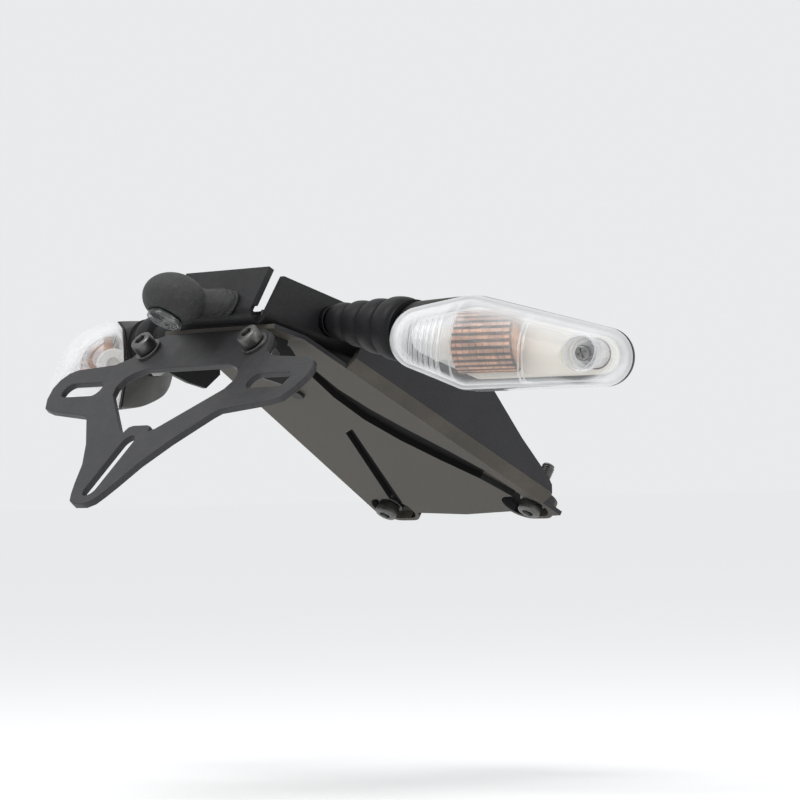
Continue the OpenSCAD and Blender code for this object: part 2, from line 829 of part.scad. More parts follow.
module left_lens() color([0.95, 0.94, 0.92, 0.6]) on_side(-1) in_pod_frame() lens();
module left_gasket() color([0.06, 0.06, 0.06]) on_side(-1) in_pod_frame() gasket();
module left_housing() color([0.12, 0.12, 0.13]) on_side(-1) in_pod_frame() housing();
module left_reflector() color([0.9, 0.88, 0.82]) on_side(-1) in_pod_frame() reflector();
module left_bulb() color([0.95, 0.55, 0.2]) on_side(-1) in_pod_frame() bulb();
module left_bulb_holder() color([0.1, 0.1, 0.1]) on_side(-1) in_pod_frame() bulb_holder();
module left_bellows() color([0.15, 0.15, 0.16]) on_side(-1) bellows();
module left_stem() color([0.5, 0.5, 0.5]) on_side(-1) stem();
module left_stem_washer() color([0.6, 0.6, 0.6]) on_side(-1) stem_washer();
module left_stem_nut() color([0.6, 0.6, 0.6]) on_side(-1) stem_nut();
module left_lens_screw() color([0.6, 0.6, 0.6]) on_side(-1) in_pod_frame() lens_screw();

main_bracket();
undertray();
plate_hanger();
plate_bracket();
plate_screws();
plate_washers();
plate_nuts();
tray_screws();
tray_washers();
tray_nuts();
tail_bolts();
tail_washers();
tail_collars();
tray_rivet();
lamp_housing();
lamp_lens();
lamp_board();
lamp_screws();
right_lens();
right_gasket();
right_housing();
right_reflector();
right_bulb();
right_bulb_holder();
right_bellows();
right_stem();
right_stem_washer();
right_stem_nut();
right_lens_screw();
left_lens();
left_gasket();
left_housing();
left_reflector();
left_bulb();
left_bulb_holder();
left_bellows();
left_stem();
left_stem_washer();
left_stem_nut();
left_lens_screw();
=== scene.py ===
"""Tail tidy of a road motorbike: bracket, undertray, indicators and plate lamp, dressed round its frame."""
import logging
import math
from collections.abc import Iterable, Sequence
from dataclasses import dataclass
from enum import Enum

import bmesh
import bpy
from bmesh.types import BMEdge, BMesh, BMVert
from bpy.types import Material, Mesh, Node, NodeSocket, NodeTree, Object
from mathutils import Matrix, Vector


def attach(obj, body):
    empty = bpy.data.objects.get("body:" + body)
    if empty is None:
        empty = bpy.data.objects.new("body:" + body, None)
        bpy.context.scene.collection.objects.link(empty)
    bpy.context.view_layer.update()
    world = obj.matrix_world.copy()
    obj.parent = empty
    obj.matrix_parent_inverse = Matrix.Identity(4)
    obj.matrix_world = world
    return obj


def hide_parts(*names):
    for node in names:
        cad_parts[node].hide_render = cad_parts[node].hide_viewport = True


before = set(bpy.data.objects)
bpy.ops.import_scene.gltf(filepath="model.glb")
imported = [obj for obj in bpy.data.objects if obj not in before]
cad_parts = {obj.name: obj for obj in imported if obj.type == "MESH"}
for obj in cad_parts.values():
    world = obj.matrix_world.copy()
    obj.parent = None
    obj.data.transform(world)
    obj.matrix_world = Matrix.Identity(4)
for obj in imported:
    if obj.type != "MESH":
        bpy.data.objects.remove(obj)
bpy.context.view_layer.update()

LOG = logging.getLogger("tail_tidy")
MM = 0.001
BODY = "root"
Colour = tuple[float, float, float]


def turn(axis: str, degrees: float) -> Matrix:
    """Rotation about a named axis, in degrees."""
    return Matrix.Rotation(math.radians(degrees), 4, axis)


def shift(x: float, y: float, z: float) -> Matrix:
    """Translation in millimetres."""
    return Matrix.Translation((x, y, z))


# Frames of the sub-assemblies, in millimetres in the row frame
PAN_TILT, REAR_LEAN, TRAY_TILT, PLATE_TILT, DROOP = 17.0, 14.0, 32.5, 45.5, 7.0
PAN_SHEET_AND_TRAY, TRAY_START, COLLAR_AND_SEAT = 5, 11, 6
PAN = turn("X", -PAN_TILT)
TRAY_Z0 = (TRAY_START * math.tan(math.radians(PAN_TILT))
           - PAN_SHEET_AND_TRAY / math.cos(math.radians(PAN_TILT)))
TRAY = shift(0, -TRAY_START, TRAY_Z0) @ turn("X", -TRAY_TILT)
PLATE = shift(0, -34, -1) @ turn("X", 90 - PLATE_TILT)
LAMP = PAN @ shift(0, -30, 2) @ turn("X", -REAR_LEAN) @ shift(0, -5, 0) @ turn("X", 90)
STALK_SEAT = Vector((36, 4.5, 8))
STALK = PAN @ Matrix.Translation(STALK_SEAT) @ turn("Y", 90)
BELLOWS = STALK @ shift(0, 0, COLLAR_AND_SEAT) @ turn("Y", DROOP)
FLIP = turn("X", 180)


class Side(Enum):
    """Side of the bike that an indicator sits on."""

    RIGHT = 1
    LEFT = -1

    @property
    def word(self) -> str:
        """Lower-case name, as the nodes use it."""
        return self.name.lower()

    @property
    def mirror(self) -> Matrix:
        """Mirror to this side from the bike's right."""
        return Matrix.Diagonal((float(self.value), 1.0, 1.0, 1.0))


# Node groups and finishes


class Wiring:
    """Short hand for building a node tree."""

    def __init__(self, tree: NodeTree) -> None:
        """Wraps a node tree."""
        self.tree = tree

    def feed(self, node: Node, inputs: dict) -> Node:
        """Gives each named input a value or a socket to link from.

        Args:
            node: the node.
            inputs: socket name or index to a value or a socket.

        Returns:
            The node.
        """
        for key, value in inputs.items():
            if isinstance(value, NodeSocket):
                self.tree.links.new(value, node.inputs[key])
            else:
                node.inputs[key].default_value = value
        return node

    def add(self, kind: str, inputs: dict | None = None, **settings: object) -> Node:
        """Adds a node.

        Args:
            kind: the node's type.
            inputs: socket name or index to a value or a socket.
            settings: the node's properties.

        Returns:
            The node.
        """
        node = self.tree.nodes.new(kind)
        for key, value in settings.items():
            setattr(node, key, value)
        return self.feed(node, inputs or {})

    def effect(self, group: NodeTree, coords: NodeSocket, **amounts: float) -> bpy.types.NodeOutputs:
        """Places a shared effect with its own amounts and returns its outputs."""
        return self.add("ShaderNodeGroup", {"Vector": coords, **amounts}, node_tree=group).outputs

    def mix(self, mask: NodeSocket, low: object, high: object) -> NodeSocket:
        """Mixes two colours by a mask."""
        ends = {i: (*end, 1.0) if isinstance(end, tuple) else end for i, end in ((6, low), (7, high))}
        return self.add("ShaderNodeMix", {0: mask, **ends}, data_type="RGBA").outputs[2]

    def span(self, value: NodeSocket, low: float, high: float, start: float = 0.0,
             end: float = 1.0) -> NodeSocket:
        """Maps a value from start and end to low and high."""
        ends = {"From Min": start, "From Max": end, "To Min": low, "To Max": high}
        return self.add("ShaderNodeMapRange", {"Value": value, **ends}).outputs["Result"]

    def noise(self, vector: NodeSocket, scale: object, detail: float, rough: float = 0.5,
              bend: float = 0.0) -> NodeSocket:
        """Adds a noise and returns its value."""
        inputs = {"Vector": vector, "Scale": scale, "Detail": detail, "Roughness": rough, "Distortion": bend}
        return self.add("ShaderNodeTexNoise", inputs).outputs["Fac"]

    def stretch(self, vector: NodeSocket, scale: tuple[float, float, float]) -> NodeSocket:
        """Scales coordinates by axis."""
        return self.add("ShaderNodeMapping", {"Vector": vector, "Scale": scale}).outputs[0]

    def work_out(self, operation: str, *values: object) -> NodeSocket:
        """Adds a sum or a product of values."""
        return self.add("ShaderNodeMath", dict(enumerate(values)), operation=operation).outputs[0]

    def bump(self, height: NodeSocket, strength: float, depth: float) -> NodeSocket:
        """Turns a height into a normal; the depth is in metres."""
        inputs = {"Height": height, "Strength": strength, "Distance": depth}
        return self.add("ShaderNodeBump", inputs).outputs["Normal"]


def new_group(name: str, amounts: dict[str, float],
              outputs: Sequence[str]) -> tuple[Wiring, list[NodeSocket], Node]:
    """Starts a shader node group that reads a vector and some amounts.

    Args:
        name: the group's name.
        amounts: name and default of each amount.
        outputs: names of the value outputs.

    Returns:
        The group's wiring, its inputs in order and its output node.
    """
    tree = bpy.data.node_groups.new(name, "ShaderNodeTree")
    tree.interface.new_socket(name="Vector", in_out="INPUT", socket_type="NodeSocketVector")
    for label, default in amounts.items():
        made = tree.interface.new_socket(name=label, in_out="INPUT", socket_type="NodeSocketFloat")
        made.default_value = default
    for label in outputs:
        tree.interface.new_socket(name=label, in_out="OUTPUT", socket_type="NodeSocketFloat")
    w = Wiring(tree)
    return w, list(w.add("NodeGroupInput").outputs)[:len(amounts) + 1], w.add("NodeGroupOutput")


class Effects:
    """Effects that several finishes share, each built once."""

    def __init__(self) -> None:
        """Builds every group."""
        self.grain = self._grain()
        self.mottle = self._mottle()
        self.dust = self._dust()
        self.brushing = self._brushing()

    @staticmethod
    def _grain() -> NodeTree:
        """Fine skin of a coat or a moulding: two sizes of noise as height and mask."""
        amounts = {"Scale": 1500.0, "Coarse": 0.4}
        w, (vector, scale, coarse), out = new_group("skin_grain", amounts, ("Height", "Mask"))
        fine = w.noise(vector, scale, 3.0, 0.6)
        broad = w.noise(vector, w.work_out("MULTIPLY", scale, 0.22), 2.0)
        height = w.work_out("MULTIPLY_ADD", broad, coarse, fine)
        w.feed(out, {"Height": height, "Mask": w.span(fine, 0, 1, 0.35, 0.65)})
        return w.tree

    @staticmethod
    def _mottle() -> NodeTree:
        """Slow patches of handling and weather over a whole piece."""
        w, (vector, scale), out = new_group("handled_mottle", {"Scale": 45.0}, ("Mask",))
        w.feed(out, {"Mask": w.span(w.noise(vector, scale, 6.0, 0.62, 0.4), 0, 1, 0.32, 0.68)})
        return w.tree

    @staticmethod
    def _dust() -> NodeTree:
        """Road dust that settles on faces that look up, broken by noise."""
        amounts = {"Scale": 160.0, "Amount": 0.3}
        w, (vector, scale, amount), out = new_group("settled_dust", amounts, ("Mask",))
        normal = w.add("ShaderNodeNewGeometry").outputs["Normal"]
        facing = w.span(w.add("ShaderNodeSeparateXYZ", {"Vector": normal}).outputs["Z"], 0, 1, 0.15, 0.95)
        broken = w.span(w.noise(vector, scale, 5.0, 0.7), 0, 1, 0.4, 0.66)
        w.feed(out, {"Mask": w.work_out("MULTIPLY", w.work_out("MULTIPLY", facing, broken), amount)})
        return w.tree

    @staticmethod
    def _brushing() -> NodeTree:
        """Fine tool marks and scratches that run one way."""
        w, (vector, scale), out = new_group("tool_marks", {"Scale": 300.0}, ("Height", "Mask"))
        marks = w.noise(w.stretch(vector, (1.0, 9.0, 1.6)), scale, 4.0, 0.7)
        w.feed(out, {"Height": marks, "Mask": w.span(marks, 0, 1, 0.38, 0.66)})
        return w.tree


EFFECTS = Effects()


def toned(colour: Colour, amount: float) -> Colour:
    """A colour made lighter or darker."""
    return tuple(min(1.0, c * amount) for c in colour)


@dataclass(frozen=True)
class Finish:
    """A finish; each kind of surface adds its own shading."""

    name: str
    colour: Colour
    roughness: float = 0.5

    def material(self) -> Material:
        """The finish's material, made once."""
        label = f"finish_{self.name}"
        found = bpy.data.materials.get(label)
        if found:
            return found
        made = bpy.data.materials.new(label)
        made.use_nodes = True
        w = Wiring(made.node_tree)
        shader = made.node_tree.nodes["Principled BSDF"]
        shader.inputs["Roughness"].default_value = self.roughness
        w.feed(shader, self.shade(w, w.add("ShaderNodeTexCoord").outputs["Object"]))
        made.diffuse_color = (*self.colour, 1.0)
        return made

    def shade(self, w: Wiring, coords: NodeSocket) -> dict[str, object]:
        """The shader's inputs: here plain colour, and more in the kinds below."""
        return {"Base Color": (*self.colour, 1.0), "Specular IOR Level": 0.0}


@dataclass(frozen=True)
class PowderCoat(Finish):
    """Baked coat on sheet steel: orange peel, slow mottling, a little dust."""

    peel: float = 1100.0
    dust: float = 0.3
    worn: Colour = (0.2, 0.19, 0.18)

    def shade(self, w: Wiring, coords: NodeSocket) -> dict[str, object]:
        """Coat colour with mottling and dust, and orange peel as bump."""
        grain = w.effect(EFFECTS.grain, coords, Scale=self.peel)
        mottle = w.effect(EFFECTS.mottle, coords, Scale=38.0)["Mask"]
        dust = w.effect(EFFECTS.dust, coords, Amount=self.dust)["Mask"]
        colour = w.mix(mottle, toned(self.colour, 0.8), toned(self.colour, 1.28))
        fine = w.mix(w.span(grain["Mask"], 0.0, 0.22), colour, self.worn)
        return {"Base Color": w.mix(dust, fine, (0.34, 0.32, 0.29)),
                "Roughness": w.span(mottle, self.roughness - 0.07, self.roughness + 0.1),
                "Specular IOR Level": 0.22, "Normal": w.bump(grain["Height"], 0.22, 0.0002)}


@dataclass(frozen=True)
class Moulding(Finish):
    """Moulded plastic, from polished to spark-textured."""

    texture: float = 900.0
    depth: float = 0.0001
    coat: float = 0.0
    shine: float = 0.3
    dust: float = 0.2

    def shade(self, w: Wiring, coords: NodeSocket) -> dict[str, object]:
        """Moulded skin with its texture as bump and light dust."""
        grain = w.effect(EFFECTS.grain, coords, Scale=self.texture, Coarse=0.8)
        mottle = w.effect(EFFECTS.mottle, coords, Scale=60.0)["Mask"]
        dust = w.effect(EFFECTS.dust, coords, Scale=240.0, Amount=self.dust)["Mask"]
        speck = w.mix(w.span(grain["Mask"], 0.0, 0.6), self.colour, toned(self.colour, 1.5))
        soft = w.mix(w.span(mottle, 0.0, 0.3), speck, toned(self.colour, 0.6))
        return {"Base Color": w.mix(dust, soft, (0.36, 0.34, 0.31)),
                "Roughness": w.span(mottle, self.roughness - 0.05, self.roughness + 0.08),
                "Specular IOR Level": self.shine, "Coat Weight": self.coat, "Coat Roughness": 0.12,
                "Normal": w.bump(grain["Height"], 0.5, self.depth)}


@dataclass(frozen=True)
class Metal(Finish):
    """Bare or plated metal with tool marks."""

    marks: float = 420.0

    def shade(self, w: Wiring, coords: NodeSocket) -> dict[str, object]:
        """Metal with streaked roughness and dulled patches."""
        marks = w.effect(EFFECTS.brushing, coords, Scale=self.marks)
        mottle = w.effect(EFFECTS.mottle, coords, Scale=120.0)["Mask"]
        dull = toned(self.colour, 0.55)
        patched = w.mix(w.span(mottle, 0.0, 0.55), self.colour, dull)
        return {"Base Color": w.mix(w.span(marks["Mask"], 0.0, 0.3), patched, dull), "Metallic": 1.0,
                "Roughness": w.span(marks["Mask"], self.roughness - 0.08, self.roughness + 0.16),
                "Normal": w.bump(marks["Height"], 0.25, 0.00008)}


@dataclass(frozen=True)
class ClearPlastic(Finish):
    """Clear moulded lens: thin where it is seen face on, white and dense at its edges."""

    face: float = 0.09
    edge: float = 0.86

    def shade(self, w: Wiring, coords: NodeSocket) -> dict[str, object]:
        """Alpha that rises towards the edges, under a polished skin with faint haze."""
        mottle = w.effect(EFFECTS.mottle, coords, Scale=90.0)["Mask"]
        facing = w.add("ShaderNodeLayerWeight", {"Blend": 0.5}).outputs["Facing"]
        return {"Base Color": w.mix(mottle, toned(self.colour, 0.9), self.colour),
                "Alpha": w.span(facing, self.face, self.edge, 0.2, 0.95),
                "Roughness": w.span(mottle, self.roughness, self.roughness + 0.05),
                "Specular IOR Level": 0.9, "Coat Weight": 0.6, "Coat Roughness": 0.04}


@dataclass(frozen=True)
class Tinted(Finish):
    """Coloured plastic with streaks along its ribs."""

    dark: Colour = (0.2, 0.1, 0.05)
    streak: float = 260.0

    def shade(self, w: Wiring, coords: NodeSocket) -> dict[str, object]:
        """Body colour broken by streaks that run up and down."""
        streaks = w.noise(w.stretch(coords, (1.0, 1.0, 0.18)), self.streak, 4.0, 0.7)
        bands = w.noise(w.stretch(coords, (0.25, 0.25, 1.0)), self.streak * 0.8, 3.0)
        mask = w.span(w.work_out("MULTIPLY", streaks, bands), 1.0, 0.0, 0.17, 0.31)
        return {"Base Color": w.mix(mask, self.colour, self.dark), "Normal": w.bump(streaks, 0.3, 0.0002)}


@dataclass(frozen=True)
class Satin(Finish):
    """Pale satin plastic of a reflector, with slow shading and faint flow lines."""

    shade_colour: Colour = (0.6, 0.57, 0.5)

    def shade(self, w: Wiring, coords: NodeSocket) -> dict[str, object]:
        """Soft change of tone over the piece."""
        mottle = w.effect(EFFECTS.mottle, coords, Scale=28.0)["Mask"]
        marks = w.effect(EFFECTS.brushing, coords, Scale=120.0)
        base = w.mix(w.span(mottle, 0.0, 0.45), self.colour, self.shade_colour)
        return {"Base Color": w.mix(w.span(marks["Mask"], 0.0, 0.16), base, self.shade_colour),
                "Normal": w.bump(marks["Height"], 0.12, 0.0001)}


COAT_PAN = PowderCoat("pan_powder_coat", (0.0095, 0.0095, 0.0108), 0.44, dust=0.04, worn=(0.04, 0.04, 0.04))
COAT_TRAY = PowderCoat("tray_powder_coat", (0.066, 0.06, 0.051), 0.58, peel=1400.0, dust=0.12,
                       worn=(0.11, 0.1, 0.09))
# Darker copy of the tray's coat for its side walls and the faces above their foot: painted shade.
TRAY_SIDE_SHADE = PowderCoat("tray_side_painted_shade", (0.021, 0.021, 0.0235), 0.5, peel=1400.0, dust=0.06,
                       worn=(0.05, 0.05, 0.05))
# Near-black copy of the coat for the insides of the tray's channels: painted shade.
CHANNEL_SHADE = PowderCoat("channel_painted_shade", (0.004, 0.004, 0.004), 0.8, dust=0.0, worn=(0.01, 0.01, 0.01))
COAT_PLATE = PowderCoat("plate_powder_coat", (0.031, 0.031, 0.033), 0.46, peel=1300.0, dust=0.04,
                        worn=(0.07, 0.07, 0.072))
COAT_HANGER = PowderCoat("hanger_powder_coat", (0.015, 0.015, 0.016), 0.45, dust=0.02,
                         worn=(0.04, 0.04, 0.04))
ZINC = Metal("zinc_plate", (0.3, 0.3, 0.295), 0.34)
DULL_STEEL = Metal("dulled_steel", (0.17, 0.17, 0.165), 0.4)
OXIDE = Metal("black_oxide", (0.05, 0.05, 0.053), 0.4)
TURNED = Metal("turned_aluminium", (0.45, 0.45, 0.46), 0.34, marks=700.0)
LAMP_SKIN = Moulding("lamp_spark_texture", (0.036, 0.036, 0.037), 0.62, texture=420.0, depth=0.0022,
                     dust=0.05)
HOUSING_SKIN = Moulding("housing_plastic", (0.016, 0.0145, 0.013), 0.42, texture=1500.0, depth=0.00005,
                        shine=0.12, dust=0.03)
BLACK_PLASTIC = Moulding("black_plastic", (0.012, 0.012, 0.012), 0.5, texture=1100.0)
RUBBER = Moulding("stalk_rubber", (0.007, 0.007, 0.008), 0.5, texture=1000.0, depth=0.00012,
                  shine=0.22, dust=0.04)
SEAL = Moulding("seal_rubber", (0.01, 0.01, 0.01), 0.6, texture=1000.0, dust=0.0)
LENS = ClearPlastic("clear_lens", (0.95, 0.96, 0.97), 0.05)
FLUTE = ClearPlastic("lens_flutes", (0.97, 0.98, 1.0), 0.08, face=0.24, edge=0.75)
LAMP_GLASS = ClearPlastic("lamp_window", (0.07, 0.072, 0.076), 0.1, face=0.3, edge=0.6)
CREAM = Satin("reflector_cream", (0.8, 0.77, 0.69), 0.35, shade_colour=(0.62, 0.58, 0.5))
SILVER = Satin("reflector_silver", (0.74, 0.75, 0.77), 0.26, shade_colour=(0.48, 0.48, 0.5))
NYLON = Satin("socket_nylon", (0.74, 0.72, 0.68), 0.4, shade_colour=(0.56, 0.54, 0.5))
AMBER = Tinted("amber_cover", (0.62, 0.31, 0.17), 0.3, dark=(0.28, 0.13, 0.065))
# Dark amber for the grooves of the bulb cover: painted shade.
AMBER_GROOVE_SHADE = Tinted("amber_groove_painted_shade", (0.13, 0.06, 0.03), 0.4, dark=(0.03, 0.02, 0.016))
BULB_AMBER = Tinted("amber_bulb", (0.9, 0.42, 0.14), 0.16, dark=(0.6, 0.2, 0.05), streak=90.0)
BOARD = Moulding("circuit_board", (0.008, 0.02, 0.011), 0.4, texture=500.0, coat=0.2, dust=0.0)
LED = Satin("led_phosphor", (0.3, 0.27, 0.11), 0.3, shade_colour=(0.2, 0.17, 0.07))


# Workshop

SHARP = 34.0  # edges sharper than this many degrees are rounded


def only(geom: Iterable[object], kind: type) -> list:
    """The vertices, edges or faces among what an operator made."""
    return [g for g in geom if isinstance(g, kind)]


def sliced(bm: BMesh, at: Sequence[float], way: Sequence[float], geom: list | None = None,
           clear_inner: bool = False) -> list:
    """Cuts a mesh along a plane and drops what lies beyond it.

    Args:
        bm: the mesh.
        at: a point on the plane.
        way: the plane's direction.
        geom: what is cut, if not the whole mesh.
        clear_inner: drops the near side too, which leaves the section alone.

    Returns:
        What lies on the plane.
    """
    geom = geom or bm.verts[:] + bm.edges[:] + bm.faces[:]
    return bmesh.ops.bisect_plane(bm, geom=geom, plane_co=at, plane_no=way, clear_outer=True,
                                  clear_inner=clear_inner)["geom_cut"]


class Workshop:
    """Turns meshes into pieces of the scene."""

    @staticmethod
    def raise_piece(bm: BMesh, name: str, place: Matrix, side: Side = Side.RIGHT,
                    smooth: float = 38.0) -> Object:
        """Makes an object from a mesh that was drawn in millimetres in its own frame.

        Args:
            bm: the mesh; it is freed.
            name: the piece's name.
            place: its frame, in millimetres.
            side: the side of the bike; the left is mirrored from the right.
            smooth: edges sharper than this many degrees stay sharp.

        Returns:
            The object, at the origin with its place in its mesh.
        """
        bm.transform(Matrix.Scale(MM, 4) @ side.mirror @ place)
        if side is Side.LEFT:
            bmesh.ops.reverse_faces(bm, faces=bm.faces)
        return Workshop.settle(bm, name, smooth)

    @staticmethod
    def settle(bm: BMesh, name: str, smooth: float = 38.0) -> Object:
        """Links a mesh that is already in metres in the row frame.

        Args:
            bm: the mesh; it is freed.
            name: the piece's name.
            smooth: edges sharper than this many degrees stay sharp.

        Returns:
            The object.
        """
        mesh = bpy.data.meshes.new(name)
        bm.to_mesh(mesh)
        bm.free()
        Workshop.smoothen(mesh, smooth)
        piece = bpy.data.objects.new(name, mesh)
        bpy.context.scene.collection.objects.link(piece)
        return piece

    @staticmethod
    def smoothen(mesh: Mesh, angle: float) -> None:
        """Shades a mesh smooth and keeps its edges sharp above an angle in degrees."""
        mesh.shade_smooth()
        mesh.set_sharp_from_angle(angle=math.radians(angle))

    @staticmethod
    def bake(piece: Object, smooth: float = 38.0) -> None:
        """Applies a piece's modifiers to its mesh.

        Args:
            piece: the piece.
            smooth: edges sharper than this many degrees stay sharp.
        """
        mesh = bpy.data.meshes.new_from_object(piece.evaluated_get(bpy.context.evaluated_depsgraph_get()))
        piece.modifiers.clear()
        piece.data = mesh
        Workshop.smoothen(mesh, smooth)

    @staticmethod
    def cut(piece: Object, cutter: Object) -> None:
        """Takes the cutter's volume out of a piece.

        Args:
            piece: the piece.
            cutter: the volume, which is removed from the scene.
        """
        tool = piece.modifiers.new("cut", "BOOLEAN")
        tool.operation, tool.solver, tool.object = "DIFFERENCE", "EXACT", cutter
        Workshop.bake(piece)
        bpy.data.objects.remove(cutter)

    @staticmethod
    def fit(piece: Object, finish: Finish, slot: str, *nodes: str) -> Object:
        """Gives a piece its finish and its body, and reports it with its slot.

        Args:
            piece: the piece.
            finish: its finish, unless it has materials already.
            slot: its slot.
            nodes: the nodes that it stands for.

        Returns:
            The piece.
        """
        if not piece.data.materials:
            piece.data.materials.append(finish.material())
        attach(piece, BODY)
        if nodes:
            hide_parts(*nodes)
        faces, stands = len(piece.data.polygons), ", ".join(nodes) or "nothing"
        LOG.info("%s: %d faces, slot %s, stands for %s", piece.name, faces, slot, stands)
        return piece

    @staticmethod
    def fuse(piece: Object, voxel: float) -> None:
        """Joins overlapping forms into one soft skin.

        Args:
            piece: the piece that holds them.
            voxel: width of the skin's squares, in millimetres.
        """
        fuse = piece.modifiers.new("fuse", "REMESH")
        fuse.mode, fuse.voxel_size, fuse.use_smooth_shade = "VOXEL", voxel * MM, True
        ease = piece.modifiers.new("ease", "SMOOTH")
        ease.factor, ease.iterations = 0.5, 8
        Workshop.bake(piece, 60.0)

    @staticmethod
    def merge(into: BMesh, part: BMesh) -> None:
        """Adds a mesh to another.

        Args:
            into: the mesh that grows.
            part: the mesh that is added, and freed.
        """
        held = bpy.data.meshes.new("held")
        part.to_mesh(held)
        part.free()
        into.from_mesh(held)
        bpy.data.meshes.remove(held)

    @staticmethod
    def rounded(bm: BMesh, edges: Iterable[BMEdge], width: float, segments: int = 2) -> list:
        """Rounds edges and returns the vertices that this makes."""
        return bmesh.ops.bevel(bm, geom=list(edges), offset=width, offset_type="OFFSET", segments=segments,
                               profile=0.5, affect="EDGES", clamp_overlap=True, material=-1)["verts"]

    @staticmethod
    def walled(bm: BMesh, wall: float) -> None:
        """Gives a skin its wall and turns its faces outwards."""
        bmesh.ops.solidify(bm, geom=bm.faces[:], thickness=wall)
        bmesh.ops.recalc_face_normals(bm, faces=bm.faces)

    @staticmethod
    def softened(node: str, name: str, width: float, segments: int = 2) -> Object:
        """Copies a CAD node, joins its triangles and rounds its sharp edges.

        Args:
            node: the node's name.
            name: the new piece's name.
            width: width of the rounding, in millimetres.
            segments: faces across the rounding.

        Returns:
            The new piece, not yet fitted.
        """
        bm = bmesh.new()
        bm.from_mesh(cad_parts[node].data)
        bmesh.ops.remove_doubles(bm, verts=bm.verts, dist=2e-6)
        bmesh.ops.dissolve_limit(bm, angle_limit=math.radians(1.5), verts=bm.verts, edges=bm.edges)
        sharp = [e for e in bm.edges if len(e.link_faces) == 2 and e.calc_face_angle() > math.radians(SHARP)]
        Workshop.rounded(bm, sharp, width * MM, segments)
        bmesh.ops.triangulate(bm, faces=[f for f in bm.faces if len(f.verts) > 4])
        piece = Workshop.settle(bm, name)
        piece.modifiers.new("even_normals", "WEIGHTED_NORMAL").keep_sharp = True
        return piece

    @staticmethod
    def drum(bm: BMesh, radius: float, low: float, high: float, round_off: float = 0.0,
             segments: int = 48) -> list[BMVert]:
        """Adds a closed cylinder on the z axis, with its end edges rounded.

        Args:
            bm: the mesh to add to.
            radius: its radius.
            low: lower z.
            high: upper z.
            round_off: width of the rounding at both ends.
            segments: faces round the drum.

        Returns:
            The new vertices.
        """
        verts = bmesh.ops.create_cone(bm, cap_ends=True, segments=segments, radius1=radius, radius2=radius,
                                      depth=high - low, matrix=shift(0, 0, (low + high) / 2))["verts"]
        if round_off:
            rims = {e for v in verts for e in v.link_edges
                    if all(abs(u.co.z - v.co.z) < 1e-6 for u in e.verts)}
            made = Workshop.rounded(bm, rims, round_off, 3)
            verts = list({v for v in verts if v.is_valid} | set(made))
        return verts

    @staticmethod
    def lathe(profile: Sequence[tuple[float, float]], steps: int = 72) -> BMesh:
        """Spins a profile about the z axis into a closed shape.

        Args:
            profile: radius and z of its points.
            steps: faces round the shape.

        Returns:
            The shape, as a new mesh.
        """
        bm = bmesh.new()
        verts = [bm.verts.new((r, 0, z)) for r, z in profile]
        edges = [bm.edges.new(pair) for pair in zip(verts, verts[1:])]
        bmesh.ops.spin(bm, geom=verts + edges, cent=(0, 0, 0), axis=(0, 0, 1), angle=math.tau, steps=steps,
                       use_merge=True)
        bmesh.ops.remove_doubles(bm, verts=bm.verts, dist=1e-4)
        bmesh.ops.recalc_face_normals(bm, faces=bm.faces)
        return bm

    @staticmethod
    def hulled(bm: BMesh, verts: Sequence[BMVert]) -> None:
        """Wraps vertices in their convex hull and drops what lies inside.

        Args:
            bm: their mesh.
            verts: the vertices.
        """
        out = bmesh.ops.convex_hull(bm, input=list(verts), use_existing_faces=False)
        loose = {v for key in ("geom_interior", "geom_unused") for v in only(out[key], BMVert)}
        bmesh.ops.delete(bm, geom=[v for v in loose if v.is_valid], context="VERTS")


def through(points: Sequence[Sequence[float]], steps: int) -> list[tuple[float, ...]]:
    """Smooth curve through control rows.

    Args:
        points: control rows of equal length.
        steps: new rows between two control rows.

    Returns:
        The rows, first and last control rows included.
    """
    rows = [tuple(map(float, p)) for p in points]
    padded = [rows[0]] + rows + [rows[-1]]
    out = []
    for i in range(1, len(padded) - 2):
        for t in (k / steps for k in range(steps)):
            out.append(tuple(0.5 * (2 * q + (r - p) * t + (2 * p - 5 * q + 4 * r - s) * t * t
                                    + (3 * q - p - 3 * r + s) * t ** 3)
                             for p, q, r, s in zip(*padded[i - 1:i + 3])))
    return out + [rows[-1]]


# Fasteners

THREAD_STEPS = 24  # per turn


